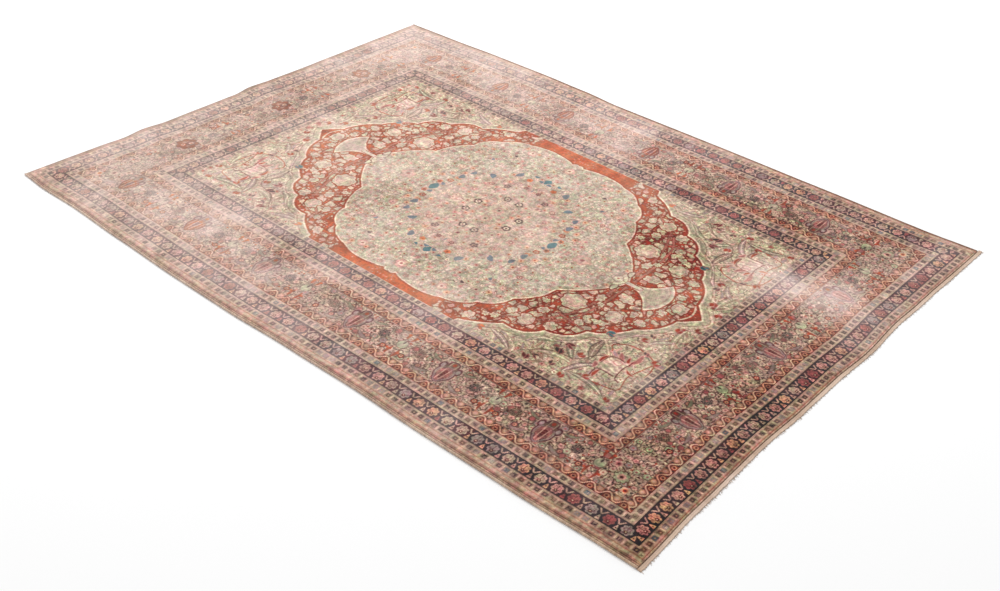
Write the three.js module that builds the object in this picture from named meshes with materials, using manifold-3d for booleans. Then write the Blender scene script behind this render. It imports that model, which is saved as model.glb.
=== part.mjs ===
// A worn, hand-knotted persian rug lying flat on a floor, in millimetres.
// X runs along the rug's length, Y across its width and Z up, with the origin on the floor under the middle.
// The knotted cloth is one solid. An overcast selvedge cord runs along each long side, and the +X end
// keeps a narrow flat-woven web whose warp ends stand out as a short, worn fringe.
import * as THREE from "three";
import { mergeVertices } from "three/addons/utils/BufferGeometryUtils.js";
import Module from "manifold-3d";

// Driving sizes.
const LENGTH = 1797; // between the corners, end to end
const WIDTH = 1300; // between the corners, side to side
const THICKNESS = 6; // pile and foundation together
const RIM_HEIGHT = 3.6; // the pile is worn down at the very edge
const RIM_WIDTH = 5;
const GAP = 0.3; // between pieces that lie against each other
const SELVEDGE_WIDTH = 5;
const SELVEDGE_HEIGHT = 5;
const WEB_WIDTH = 8;
const WEB_THICKNESS = 1.8;
const FRINGE_REACH = 6; // mean length of the fringe beyond the web
const ROOT_DEPTH = 3; // how far a lock's root is fused into the web
const FRINGE_MARGIN = 30; // no fringe this near the web's two ends
const CORNER_REACH = 7; // how far the web's end hangs on past the far corner
const EDGE_DRIFT = 150; // the cloth is pulled out of square only this far in from an edge
const WEB_END_TAPER = 0.6; // share of the web's width that is left at its two tips
const LOCK_COUNT = 150; // locks of worn fringe, about one every 8 mm
// A selvedge cord's eight sides: the flat foot and top as a share of its half width, and the bevels' height.
const CORD = { flat: 0.42, bevel: 0.28 };
// A lock's shape. Reach is a share of the mean, half width and wander shares of the pitch,
// tip a share of the root's width, and heights shares of the web's thickness. Lean is in mm.
const LOCK = {
  shortest: 0.45,
  spread: 0.9,
  wander: 0.3,
  lean: 2.4,
  half: 0.2,
  halfSpread: 0.12,
  tip: 0.55,
  rootHeight: 0.85,
  tipHeight: 0.5,
};
const STEPS_ALONG = 48; // facets of the cloth
const STEPS_ACROSS = 44;

// How far each edge bows out of the straight line between its corners. "at" runs from 0 to 1.
const NEAR_SIDE = [
  { at: 0.0, out: 5.7 },
  { at: 0.05, out: 10.7 },
  { at: 0.11, out: 8.5 },
  { at: 0.22, out: 14 },
  { at: 0.33, out: 18 },
  { at: 0.43, out: 17.7 },
  { at: 0.53, out: 11.7 },
  { at: 0.64, out: 8.5 },
  { at: 0.72, out: 10.7 },
  { at: 0.85, out: 8.7 },
  { at: 0.97, out: 3 },
  { at: 1.0, out: 2.5 },
];
const FAR_SIDE = [
  { at: 0.0, out: 9.7 },
  { at: 0.08, out: 11.5 },
  { at: 0.18, out: 17 },
  { at: 0.28, out: 18 },
  { at: 0.36, out: 14.5 },
  { at: 0.43, out: 5.7 },
  { at: 0.6, out: 5.7 },
  { at: 0.78, out: 2.2 },
  { at: 0.93, out: -2.4 },
  { at: 1.0, out: 2 },
];
const LEFT_END = [
  { at: 0.0, out: 3 },
  { at: 0.07, out: 2 },
  { at: 0.15, out: 0.5 },
  { at: 0.2, out: -3.5 },
  { at: 0.25, out: 3.5 },
  { at: 0.3, out: -3 },
  { at: 0.38, out: -1 },
  { at: 0.47, out: 0.5 },
  { at: 0.52, out: 11 },
  { at: 0.57, out: 7 },
  { at: 0.65, out: 6.5 },
  { at: 0.75, out: 9 },
  { at: 0.9, out: 12 },
  { at: 1.0, out: 13.5 },
];
const RIGHT_END = [
  { at: 0.0, out: 4 },
  { at: 0.14, out: -3.3 },
  { at: 0.3, out: -7 },
  { at: 0.41, out: -2.7 },
  { at: 0.5, out: -2.5 },
  { at: 0.6, out: 3 },
  { at: 0.7, out: -2 },
  { at: 0.78, out: 0.8 },
  { at: 1.0, out: 6 },
];
// Soft swells and worn hollows of the pile: centre, radii and rise.
const SWELLS = [
  { x: -620, y: 330, rx: 190, ry: 150, rise: 0.5 },
  { x: -300, y: -420, rx: 260, ry: 130, rise: 0.6 },
  { x: 120, y: 300, rx: 240, ry: 180, rise: -0.4 },
  { x: 260, y: -180, rx: 300, ry: 160, rise: -0.5 },
  { x: 560, y: 420, rx: 200, ry: 140, rise: 0.5 },
  { x: 700, y: -260, rx: 160, ry: 240, rise: 0.6 },
  { x: -120, y: 40, rx: 340, ry: 120, rise: -0.4 },
  { x: -780, y: -120, rx: 110, ry: 200, rise: 0.4 },
];

// Reads a table of { at, out } rows, from 0 to 1, with a soft step from row to row.
function bow(table, at) {
  const next = Math.max(1, table.findIndex((row) => row.at >= at));
  const [a, b] = [table[next - 1], table[next]];
  const share = (at - a.at) / (b.at - a.at);
  return a.out + (b.out - a.out) * share * share * (3 - 2 * share);
}

// A repeatable number from 0 to 1 for the uneven spacing and length of hand-worn fringe.
function vary(index, salt) {
  const s = Math.sin(index * 12.9898 + salt * 78.233) * 43758.5453;
  return s - Math.floor(s);
}

const webReach = WEB_WIDTH + FRINGE_REACH;
const halfLength = LENGTH / 2;
const halfWidth = WIDTH / 2;
const drift = (distance) => Math.max(0, 1 - distance / EDGE_DRIFT);

// Where a point of the squared-up cloth lies on the floor: the edges bow and the middle keeps square.
function lie(x, y) {
  const along = THREE.MathUtils.clamp(x / LENGTH + 0.5, 0, 1);
  const across = THREE.MathUtils.clamp(y / WIDTH + 0.5, 0, 1);
  const side = SELVEDGE_WIDTH + GAP;
  const toNear = (bow(NEAR_SIDE, along) - side) * drift(y + halfWidth);
  const toFar = (bow(FAR_SIDE, along) - side) * drift(halfWidth - y);
  const toLeft = bow(LEFT_END, across) * drift(x + halfLength);
  const toRight = (bow(RIGHT_END, across) - webReach - GAP) * drift(halfLength - x);
  return [x - toLeft + toRight, y - toNear + toFar];
}

// Height of the pile, which thins to the rim at every edge.
function pileTop(x, y) {
  const inset = Math.min(halfLength - Math.abs(x), halfWidth - Math.abs(y));
  const share = THREE.MathUtils.clamp(inset / RIM_WIDTH, 0, 1);
  const swell = SWELLS.reduce((sum, s) => {
    const reach = ((x - s.x) / s.rx) ** 2 + ((y - s.y) / s.ry) ** 2;
    return sum + s.rise * Math.exp(-reach);
  }, 0);
  return RIM_HEIGHT + (THICKNESS - RIM_HEIGHT) * share + swell * share;
}

// Grid lines across a length: one at each edge, one at the end of the rim, and even ones between.
function gridLines(size, steps) {
  const inner = size / 2 - RIM_WIDTH;
  const lines = Array.from({ length: steps - 1 }, (_, i) => -inner + (2 * inner * i) / (steps - 2));
  return [-size / 2, ...lines, size / 2];
}

function indexed(points, triangles) {
  const geometry = new THREE.BufferGeometry();
  geometry.setAttribute("position", new THREE.Float32BufferAttribute(points.flat(), 3));
  geometry.setIndex(triangles.flat());
  return geometry;
}

// The knotted cloth: an uneven top of pile, upright edges and a flat back.
function knottedCloth() {
  const xs = gridLines(LENGTH, STEPS_ALONG);
  const ys = gridLines(WIDTH, STEPS_ACROSS);
  const points = [];
  const triangles = [];
  xs.forEach((x) => ys.forEach((y) => points.push([...lie(x, y), pileTop(x, y)])));
  const top = (i, j) => i * ys.length + j;
  for (let i = 0; i + 1 < xs.length; i++) {
    for (let j = 0; j + 1 < ys.length; j++) {
      const [a, b, c, d] = [top(i, j), top(i + 1, j), top(i + 1, j + 1), top(i, j + 1)];
      triangles.push([a, b, c], [a, c, d]);
    }
  }
  const [lastX, lastY] = [xs.length - 1, ys.length - 1];
  const rim = [
    ...xs.slice(0, -1).map((_, i) => top(i, 0)),
    ...ys.slice(0, -1).map((_, j) => top(lastX, j)),
    ...xs.slice(1).map((_, i) => top(lastX - i, lastY)),
    ...ys.slice(1).map((_, j) => top(0, lastY - j)),
  ];
  const foot = points.length;
  rim.forEach((index) => points.push([points[index][0], points[index][1], 0]));
  const middle = points.length;
  points.push([0, 0, 0]);
  rim.forEach((upper, k) => {
    const next = (k + 1) % rim.length;
    triangles.push([upper, foot + k, foot + next], [upper, foot + next, rim[next]]);
    triangles.push([foot + next, foot + k, middle]);
  });
  return indexed(points, triangles);
}

// A closed bar through a row of sections that all have the same number of corners.
function bar(sections) {
  const corners = sections[0].length;
  const triangles = [];
  for (let s = 0; s + 1 < sections.length; s++) {
    for (let k = 0; k < corners; k++) {
      const [a, b] = [s * corners + k, s * corners + ((k + 1) % corners)];
      triangles.push([a, b, b + corners], [a, b + corners, a + corners]);
    }
  }
  const last = (sections.length - 1) * corners;
  for (let k = 1; k + 1 < corners; k++) {
    triangles.push([0, k + 1, k], [last, last + k, last + k + 1]);
  }
  return indexed(sections.flat(), triangles);
}

// An overcast cord of eight sides with a flat foot, along the near (-1) or far (1) side of the cloth.
function selvedge(side) {
  const half = SELVEDGE_WIDTH / 2;
  const flat = half * CORD.flat;
  const low = SELVEDGE_HEIGHT * CORD.bevel;
  const profile = [
    [-flat, 0],
    [flat, 0],
    [half, low],
    [half, SELVEDGE_HEIGHT - low],
    [flat, SELVEDGE_HEIGHT],
    [-flat, SELVEDGE_HEIGHT],
    [-half, SELVEDGE_HEIGHT - low],
    [-half, low],
  ];
  const sections = gridLines(LENGTH, STEPS_ALONG).map((gridX) => {
    const [x, y] = lie(gridX, side * halfWidth);
    const middle = y + side * (GAP + half);
    return profile.map(([across, z]) => [x, middle + across, z]);
  });
  return bar(sections);
}

const wasm = await Module();
wasm.setup();

function solid(geometry) {
  const plain = mergeVertices(geometry, 1e-3);
  const vertProperties = new Float32Array(plain.attributes.position.array);
  const triVerts = new Uint32Array(plain.index.array);
  return new wasm.Manifold(new wasm.Mesh({ numProp: 3, vertProperties, triVerts }));
}

// The inner edge of the web, as [x, y] rows from the near corner to past the far one.
function webLine() {
  const line = gridLines(WIDTH, STEPS_ACROSS).map((gridY) => {
    const [x, y] = lie(halfLength, gridY);
    return [x + GAP, y];
  });
  const [near, far] = [line[0], line[line.length - 1]];
  const side = GAP + SELVEDGE_WIDTH;
  return [[near[0], near[1] - side], ...line, [far[0], far[1] + side + CORNER_REACH]];
}

// The x of the web's inner edge beside y.
function webEdge(line, y) {
  const next = line.findIndex((row) => row[1] >= y);
  const [a, b] = [line[next - 1], line[next]];
  return a[0] + ((b[0] - a[0]) * (y - a[1])) / (b[1] - a[1]);
}

// The flat-woven web of the +X end with its worn warp ends: the strip and its locks are one piece.
function webWithFringe() {
  const line = webLine();
  const [from, to] = [line[0][1], line[line.length - 1][1]];
  const sections = line.map(([x, y], i) => {
    const width = i === 0 || i === line.length - 1 ? WEB_WIDTH * WEB_END_TAPER : WEB_WIDTH;
    return [
      [x, y, 0],
      [x, y, WEB_THICKNESS],
      [x + width, y, WEB_THICKNESS],
      [x + width, y, 0],
    ];
  });
  let piece = solid(bar(sections));
  const pitch = (to - from - 2 * FRINGE_MARGIN) / LOCK_COUNT;
  const [rootHigh, tipHigh] = [WEB_THICKNESS * LOCK.rootHeight, WEB_THICKNESS * LOCK.tipHeight];
  const section = (x, y, half, high) => [
    [x, y - half, 0],
    [x, y + half, 0],
    [x, y + half, high],
    [x, y - half, high],
  ];
  const locks = Array.from({ length: LOCK_COUNT }, (_, i) => {
    const y = from + FRINGE_MARGIN + pitch * (i + 0.5 + LOCK.wander * (vary(i, 1) - 0.5));
    const root = webEdge(line, y) + WEB_WIDTH - ROOT_DEPTH;
    const reach = ROOT_DEPTH + FRINGE_REACH * (LOCK.shortest + LOCK.spread * vary(i, 2));
    const lean = LOCK.lean * (vary(i, 3) - 0.5);
    const half = pitch * (LOCK.half + LOCK.halfSpread * vary(i, 4));
    const tip = section(root + reach, y + lean, half * LOCK.tip, tipHigh);
    return solid(bar([section(root, y, half, rootHigh), tip]));
  });
  locks.forEach((lock) => {
    piece = piece.add(lock);
  });
  const mesh = piece.getMesh();
  const geometry = new THREE.BufferGeometry();
  geometry.setAttribute("position", new THREE.BufferAttribute(new Float32Array(mesh.vertProperties), 3));
  geometry.setIndex(new THREE.BufferAttribute(new Uint32Array(mesh.triVerts), 1));
  return geometry;
}

function piece(name, geometry, color, roughness) {
  const material = new THREE.MeshStandardMaterial({ color, roughness, metalness: 0 });
  const mesh = new THREE.Mesh(geometry, material);
  mesh.name = name;
  return mesh;
}

const rug = new THREE.Group();
rug.add(
  piece("knotted_cloth", knottedCloth(), 0xa88a78, 0.85),
  piece("selvedge_near", selvedge(-1), 0xd9bfa4, 0.9),
  piece("selvedge_far", selvedge(1), 0x8a7763, 0.9),
  piece("end_web", webWithFringe(), 0xe2d6c4, 0.95),
);

// The uneven outline is centred on the origin, so that it lies under the middle of the whole rug.
const box = new THREE.Box3().setFromObject(rug);
const middle = box.getCenter(new THREE.Vector3());
rug.children.forEach((mesh) => mesh.position.set(-middle.x, -middle.y, 0));

export default rug;
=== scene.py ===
"""Looks of a worn persian rug with painted pile sheen and shade over its solids: knotted cloth, two selvedges
and a fringed web.
"""
import math

import bpy
import numpy as np
from mathutils import Matrix, Vector


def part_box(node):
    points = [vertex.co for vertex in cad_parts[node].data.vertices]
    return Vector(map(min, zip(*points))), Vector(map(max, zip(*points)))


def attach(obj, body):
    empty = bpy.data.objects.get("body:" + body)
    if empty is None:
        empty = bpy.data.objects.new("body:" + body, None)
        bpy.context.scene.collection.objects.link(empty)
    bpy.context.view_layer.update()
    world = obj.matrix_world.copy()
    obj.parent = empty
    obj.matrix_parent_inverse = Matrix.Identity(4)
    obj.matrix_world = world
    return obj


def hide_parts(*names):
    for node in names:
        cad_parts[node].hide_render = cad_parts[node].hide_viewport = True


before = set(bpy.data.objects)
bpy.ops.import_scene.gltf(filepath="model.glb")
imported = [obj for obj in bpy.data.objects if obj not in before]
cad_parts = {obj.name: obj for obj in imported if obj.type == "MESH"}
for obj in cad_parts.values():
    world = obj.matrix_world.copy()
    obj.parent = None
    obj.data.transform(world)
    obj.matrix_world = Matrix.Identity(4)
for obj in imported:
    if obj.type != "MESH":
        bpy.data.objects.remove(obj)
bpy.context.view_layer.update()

MM = 0.001
# ---- sizes, in mm, as the solids have them
LENGTH, WIDTH = 1797.0, 1300.0
THICKNESS, RIM_HEIGHT, RIM_WIDTH = 6.0, 3.6, 5.0
GAP = 0.3
SELVEDGE_WIDTH, SELVEDGE_HEIGHT = 5.0, 5.0
WEB_WIDTH, WEB_THICKNESS, FRINGE_REACH, CORNER_REACH = 8.0, 1.8, 6.0, 7.0
EDGE_DRIFT = 150.0
# How far each edge bows out of the straight line between its corners: place from 0 to 1, and distance.
NEAR_SIDE = [(0, 5.7), (0.05, 10.7), (0.11, 8.5), (0.22, 14), (0.33, 18), (0.43, 17.7), (0.53, 11.7),
             (0.64, 8.5), (0.72, 10.7), (0.85, 8.7), (0.97, 3), (1, 2.5)]
FAR_SIDE = [(0, 9.7), (0.08, 11.5), (0.18, 17), (0.28, 18), (0.36, 14.5), (0.43, 5.7), (0.6, 5.7),
            (0.78, 2.2), (0.93, -2.4), (1, 2)]
LEFT_END = [(0, 3), (0.07, 2), (0.15, 0.5), (0.2, -3.5), (0.25, 3.5), (0.3, -3), (0.38, -1), (0.47, 0.5),
            (0.52, 11), (0.57, 7), (0.65, 6.5), (0.75, 9), (0.9, 12), (1, 13.5)]
RIGHT_END = [(0, 4), (0.14, -3.3), (0.3, -7), (0.41, -2.7), (0.5, -2.5), (0.6, 3), (0.7, -2), (0.78, 0.8),
             (1, 6)]
# Soft swells of the pile: centre x and y, radii and rise.
SWELLS = [(-620, 330, 190, 150, 0.5), (-300, -420, 260, 130, 0.6), (120, 300, 240, 180, -0.4),
          (260, -180, 300, 160, -0.5), (560, 420, 200, 140, 0.5), (700, -260, 160, 240, 0.6),
          (-120, 40, 340, 120, -0.4), (-780, -120, 110, 200, 0.4)]
HALF_LENGTH, HALF_WIDTH = LENGTH / 2, WIDTH / 2


# ---- where the cloth lies
def bow(table, at):
    """Reads a table of (at, out) rows with a soft step from row to row."""
    ats, outs = np.array(table, float).T
    i = np.clip(np.searchsorted(ats, at), 1, len(ats) - 1)
    share = (at - ats[i - 1]) / (ats[i] - ats[i - 1])
    return outs[i - 1] + (outs[i] - outs[i - 1]) * share * share * (3 - 2 * share)


def drift(distance):
    return np.maximum(0, 1 - distance / EDGE_DRIFT)


def lie(x, y):
    """Where a point of the squared-up cloth lies: the edges bow and the middle keeps square."""
    along, across = np.clip(x / LENGTH + 0.5, 0, 1), np.clip(y / WIDTH + 0.5, 0, 1)
    side, web_reach = SELVEDGE_WIDTH + GAP, WEB_WIDTH + FRINGE_REACH
    to_near = (bow(NEAR_SIDE, along) - side) * drift(y + HALF_WIDTH)
    to_far = (bow(FAR_SIDE, along) - side) * drift(HALF_WIDTH - y)
    to_left = bow(LEFT_END, across) * drift(x + HALF_LENGTH)
    to_right = (bow(RIGHT_END, across) - web_reach - GAP) * drift(HALF_LENGTH - x)
    return x - to_left + to_right, y - to_near + to_far


def hills(x, y, table):
    """The sum of soft round hills: centre x and y, radii and rise."""
    return sum(rise * np.exp(-(((x - cx) / rx) ** 2 + ((y - cy) / ry) ** 2))
               for cx, cy, rx, ry, rise in table)


def rim_share(x, y):
    """0 at the cloth's edges and 1 from the end of the worn rim inwards."""
    return np.clip(np.minimum(HALF_LENGTH - np.abs(x), HALF_WIDTH - np.abs(y)) / RIM_WIDTH, 0, 1)


def pile_top(x, y):
    share = rim_share(x, y)
    return RIM_HEIGHT + (THICKNESS - RIM_HEIGHT) * share + hills(x, y, SWELLS) * share


def centring():
    """How far the solids were moved to centre the whole rug's box, from where their cloth lies."""
    edge_x, edge_y = (np.linspace(-half, half, 400) for half in (HALF_LENGTH, HALF_WIDTH))
    left, right = lie(-HALF_LENGTH, edge_y)[0].min(), lie(HALF_LENGTH, edge_y)[0].max()
    near, far = lie(edge_x, -HALF_WIDTH)[1].min(), lie(edge_x, HALF_WIDTH)[1].max()
    low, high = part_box("knotted_cloth")
    return (low.x + high.x) / 2 / MM - (left + right) / 2, (low.y + high.y) / 2 / MM - (near + far) / 2


MOVE_X, MOVE_Y = centring()


def on_floor(x, y):
    """Where a point of the squared-up cloth lies in the shared frame, in mm."""
    real_x, real_y = lie(x, y)
    return real_x + MOVE_X, real_y + MOVE_Y


# ---- camera, light and floor
CORNER_TOP = 5.0  # height of the corners that the view was fitted to
EYE = (2.39008743, -2.78759763, 2.20029867)  # in half widths, from the rug's middle at that height
VIEW_TURNS = (-39.997087, -34.912934, 2.608012)  # yaw, pitch and roll in degrees
LENS, SENSOR = 43.204, 36
LIGHT_PLACE, LIGHT_SIZE, LIGHT_POWER, SKY_STRENGTH = (-1.6, 1.4, 3.4), (4.0, 3.0), 118, 0.72
FLOOR_HALF, FLOOR_DROP = 14.0, 0.0004


def link(name, data):
    thing = bpy.data.objects.new(name, data)
    bpy.context.scene.collection.objects.link(thing)
    return thing


def make_camera():
    """The photograph's view, fitted to the rug's four corners."""
    eye = Vector(EYE) * (HALF_WIDTH * MM) + Vector((MOVE_X, MOVE_Y, CORNER_TOP)) * MM
    yaw, pitch, roll = (math.radians(a) for a in VIEW_TURNS)
    ahead = Vector((math.cos(pitch) * math.sin(yaw), math.cos(pitch) * math.cos(yaw), math.sin(pitch)))
    level = ahead.cross(Vector((0, 0, 1))).normalized()
    upright = level.cross(ahead)
    right = math.cos(roll) * level + math.sin(roll) * upright
    up = -math.sin(roll) * level + math.cos(roll) * upright
    data = bpy.data.cameras.new("photo_camera")
    data.sensor_fit, data.sensor_width, data.lens = "HORIZONTAL", SENSOR, LENS
    data.clip_start, data.clip_end = 0.05, 60
    camera = link("photo_camera", data)
    camera.matrix_world = Matrix.Translation(eye) @ Matrix((right, up, -ahead)).transposed().to_4x4()
    bpy.context.scene.camera = camera


def make_light():
    world = bpy.data.worlds.new("studio")
    world.use_nodes = True
    sky = world.node_tree.nodes["Background"].inputs
    sky["Color"].default_value = (1, 1, 1, 1)
    sky["Strength"].default_value = SKY_STRENGTH
    bpy.context.scene.world = world
    data = bpy.data.lights.new("soft_box", "AREA")
    data.shape, data.energy = "RECTANGLE", LIGHT_POWER
    data.size, data.size_y = LIGHT_SIZE
    light = link("soft_box", data)
    light.location = LIGHT_PLACE
    light.rotation_euler = (-light.location).to_track_quat("-Z", "Y").to_euler()
    bpy.context.scene.view_settings.view_transform = "Standard"


def make_floor():
    mesh = bpy.data.meshes.new("floor")
    corners = [(x * FLOOR_HALF, y * FLOOR_HALF, 0) for x, y in ((-1, -1), (1, -1), (1, 1), (-1, 1))]
    mesh.from_pydata(corners, [], [(0, 1, 2, 3)])
    floor = link("floor", mesh)
    material = bpy.data.materials.new("pale_floor")
    material.use_nodes = True
    sockets = material.node_tree.nodes["Principled BSDF"].inputs
    sockets["Base Color"].default_value = (0.93, 0.93, 0.93, 1)
    sockets["Roughness"].default_value = 0.9
    sockets["Specular IOR Level"].default_value = 0.1
    mesh.materials.append(material)
    floor.location.z = -FLOOR_DROP


make_camera()
make_light()
make_floor()

# ---- dyes, as they look on screen before any wear and painted sheen
DYES = dict(
    cream=(204, 176, 156), ivory=(212, 188, 168), beige=(174, 144, 128), tan=(150, 116, 98),
    camel=(124, 92, 74), celadon=(158, 150, 124), sage=(122, 120, 98), moss=(84, 82, 66),
    mauve=(142, 120, 116), pink=(182, 136, 124), rose=(142, 82, 78), peach=(192, 142, 116),
    orange=(182, 86, 54), coral=(160, 58, 32), brick=(124, 40, 24), rust=(102, 34, 18),
    madder=(80, 26, 22), wine=(78, 34, 36), aubergine=(70, 46, 48), ink=(52, 46, 50),
    slate=(88, 92, 98), blue=(80, 90, 100), teal=(56, 88, 92), brown=(90, 62, 50), umber=(60, 42, 38),
    dust=(150, 118, 102), field=(180, 164, 148), grass=(184, 162, 138), straw=(188, 174, 150))
YELLOWED = np.array((1.0, 0.975, 0.93), np.float32)  # the cast of old wool
DYES = {name: np.array(rgb, np.float32) * YELLOWED / 255 for name, rgb in DYES.items()}


def mixed(dye, other, share):
    return DYES[dye] * (1 - share) + DYES[other] * share


# ---- the boards that the pattern is drawn on
QUAD = 2.5  # the pile's mesh, in mm, with two samples of the board along each side of a face
QUADS_X, QUADS_Y = round(LENGTH / QUAD), round(WIDTH / QUAD)
SAMPLE_X, SAMPLE_Y = LENGTH / QUADS_X / 2, WIDTH / QUADS_Y / 2
SAMPLE = QUAD / 2
SKEW = 30.0  # the most that the uneven cloth moves a motif from its column and row
NOISE_LEFT, NOISE_NEAR, NOISE_SIZE = 1050, 800, (1700, 2200)  # the noise's reach, and its height and width


def soft(distance):
    """How much of a sample a shape covers, from its signed distance in mm, negative inside."""
    return np.clip(0.5 - distance / SAMPLE, 0, 1)


def between(value, low, high):
    return (value >= low) & (value < high)


def hashed(a, b, salt):
    """A repeatable number from 0 to 1 for each pair of whole numbers."""
    s = np.sin(a * 12.9898 + b * 78.233 + salt * 37.719) * 43758.5453
    return s - np.floor(s)


def noise(x, y, size, seed):
    """Smooth noise from -1 to 1 with features of this size in mm."""
    grid = np.random.default_rng(seed).uniform(-1, 1, [int(room / size) + 4 for room in NOISE_SIZE])
    gx, gy = (x + NOISE_LEFT) / size, (y + NOISE_NEAR) / size
    ix, iy = np.floor(gx).astype(int), np.floor(gy).astype(int)
    fx, fy = gx - ix, gy - iy
    fx, fy = fx * fx * (3 - 2 * fx), fy * fy * (3 - 2 * fy)
    low = grid[iy, ix] * (1 - fx) + grid[iy, ix + 1] * fx
    high = grid[iy + 1, ix] * (1 - fx) + grid[iy + 1, ix + 1] * fx
    return low * (1 - fy) + high * fy


class Board:
    """A sheet of samples, with each one's place in the squared-up design, in mm."""

    def __init__(self, x, y, dye):
        self.x, self.y = x, y
        self.xs, self.ys = x[len(x) // 2], y[:, y.shape[1] // 2]
        self.rgb = np.empty((*x.shape, 3), np.float32)
        self.rgb[:] = DYES[dye]

    def where(self, test):
        return Patch(self, *np.nonzero(test))


class Patch:
    """Some samples of a board. Dyes are laid on it in turn, and done() puts them back."""

    def __init__(self, board, rows, columns):
        self.board, self.rows, self.columns = board, rows, columns
        self.x, self.y = board.x[rows, columns], board.y[rows, columns]
        self.rgb = board.rgb[rows, columns]

    def lay(self, cover, dye):
        """Lays a dye as thickly as cover says, from 0 to 1."""
        colour = DYES[dye] if isinstance(dye, str) else dye
        self.rgb += np.asarray(cover, np.float32)[..., None] * (colour - self.rgb)

    def fill(self, shape, dye, strength=1.0):
        """Dyes the inside of a shape, which is a signed distance in mm."""
        self.lay(soft(shape) * strength, dye)

    def line(self, shape, half, dye, strength=1.0):
        """Dyes a line along a shape's edge, half this wide on each side."""
        self.fill(np.abs(shape) - half, dye, strength)

    def pick(self, shape, number, turns, spread, strength=1.0):
        """Fills a shape with the dyes whose turn, which starts at a number and is spread long, has come."""
        for start, dye in turns:
            self.fill(shape, dye, strength * between(number, start, start + spread))

    def done(self):
        self.board.rgb[self.rows, self.columns] = self.rgb


class Stamp(Patch):
    """A square window round one motif, whose along axis points the way that the motif grows."""

    def __init__(self, board, x, y, reach, turn=0.0):
        rows, columns = (np.nonzero(np.abs(at - middle) < reach + SKEW)[0]
                         for at, middle in ((board.ys, y), (board.xs, x)))
        super().__init__(board, rows[:, None], columns[None, :])
        dx, dy = self.x - x, self.y - y
        turn = math.radians(turn)
        self.along = dx * math.cos(turn) + dy * math.sin(turn)
        self.across = dy * math.cos(turn) - dx * math.sin(turn)


# The field's corners lie a little out of square on the cloth. In the design they are square, and its
# insets count from the cloth's edges, at the left and right with some of the plain edge missing.
FIELD_INSET = 282.0
FIELD_LEFT, FIELD_RIGHT, FIELD_NEAR, FIELD_FAR, FAR_SLANT = -625.0, 616.0, -372.0, 359.5, 29.0
LEFT_MISSING, RIGHT_MISSING = -2.0, 12.0


def squared(at, low_edge, low_line, high_line, high_edge, low_missing, high_missing, half):
    """Where a place on the cloth is in the design, across one direction."""
    low_share = np.maximum(0, low_line - at) / (low_line - low_edge)
    high_share = np.maximum(0, at - high_line) / (high_edge - high_line)
    middle = (np.clip(at, low_line, high_line) - low_line) / (high_line - low_line) * 2 - 1
    middle = middle * (half - FIELD_INSET) - low_share * (FIELD_INSET - low_missing)
    return middle + high_share * (FIELD_INSET - high_missing)


def make_whole():
    """The board of the whole cloth."""
    x, y = np.meshgrid((np.arange(2 * QUADS_X) + 0.5) * SAMPLE_X - HALF_LENGTH,
                       (np.arange(2 * QUADS_Y) + 0.5) * SAMPLE_Y - HALF_WIDTH)
    real_x, real_y = lie(x, y)
    left, right = (lie(np.full_like(x, end), y)[0] for end in (-HALF_LENGTH, HALF_LENGTH))
    near, far = (lie(x, np.full_like(x, side))[1] for side in (-HALF_WIDTH, HALF_WIDTH))
    field_far = FIELD_FAR - FAR_SLANT * (real_x / (FIELD_RIGHT - FIELD_LEFT))
    in_x = squared(real_x, left, FIELD_LEFT, FIELD_RIGHT, right, LEFT_MISSING, RIGHT_MISSING, HALF_LENGTH)
    in_y = squared(real_y, near, FIELD_NEAR, field_far, far, 0, 0, HALF_WIDTH)
    return Board(in_x, in_y, "beige")


whole = make_whole()
END_INSET, SIDE_INSET = HALF_LENGTH - np.abs(whole.x), HALF_WIDTH - np.abs(whole.y)
INSET, ON_END = np.minimum(END_INSET, SIDE_INSET), END_INSET < SIDE_INSET


class Band(Patch):
    """A band round the rug between two insets. s runs along each side from its middle, and t inwards."""

    def __init__(self, outer, inner):
        super().__init__(whole, *np.nonzero(between(INSET, outer, inner)))
        on_end = ON_END[self.rows, self.columns]
        self.s = np.where(on_end, self.y, self.x)
        self.t = INSET[self.rows, self.columns] - (outer + inner) / 2
        self.side = on_end * 2 + np.where(on_end, self.x > 0, self.y > 0)
        self.length = np.where(on_end, WIDTH, LENGTH) - outer - inner

    def repeat(self, pitch, shift=0.0):
        """The number of each repeat and the distance from its middle, fitted between the corners."""
        count = np.round(self.length / pitch)
        place = (self.s / self.length + 0.5) * count + shift
        number = np.floor(place)
        return number, (place - number - 0.5) * self.length / count


# ---- shapes, as signed distances in mm
def petals(along, across, radius, count, depth, turn=0.0):
    angle = np.arctan2(across, along) - turn
    lobes = 2 * depth * np.abs(np.cos(count * angle / 2))
    return np.hypot(along, across) - radius * (1 - 2 * depth + lobes)


def oval(along, across, half_along, half_across):
    return (np.hypot(along / half_along, across / half_across) - 1) * min(half_along, half_across)


def blade(along, across, length, width, bend=0.0):
    """A pointed leaf about the origin whose midrib bows by bend."""
    share = np.clip(2 * along / length, -1, 1)
    belly = 1 - share * share
    return np.maximum(np.abs(across - bend * belly) - width / 2 * belly ** 0.8, np.abs(along) - length / 2)


def to_runs(x, y, points):
    """The distance to the nearest of the straight runs through a row of points."""
    nearest = np.full(np.broadcast(x, y).shape, 1e9)
    for (x0, y0), (x1, y1) in zip(points, points[1:]):
        dx, dy = x1 - x0, y1 - y0
        share = np.clip(((x - x0) * dx + (y - y0) * dy) / (dx * dx + dy * dy + 1e-9), 0, 1)
        nearest = np.minimum(nearest, np.hypot(x - x0 - share * dx, y - y0 - share * dy))
    return nearest


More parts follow.
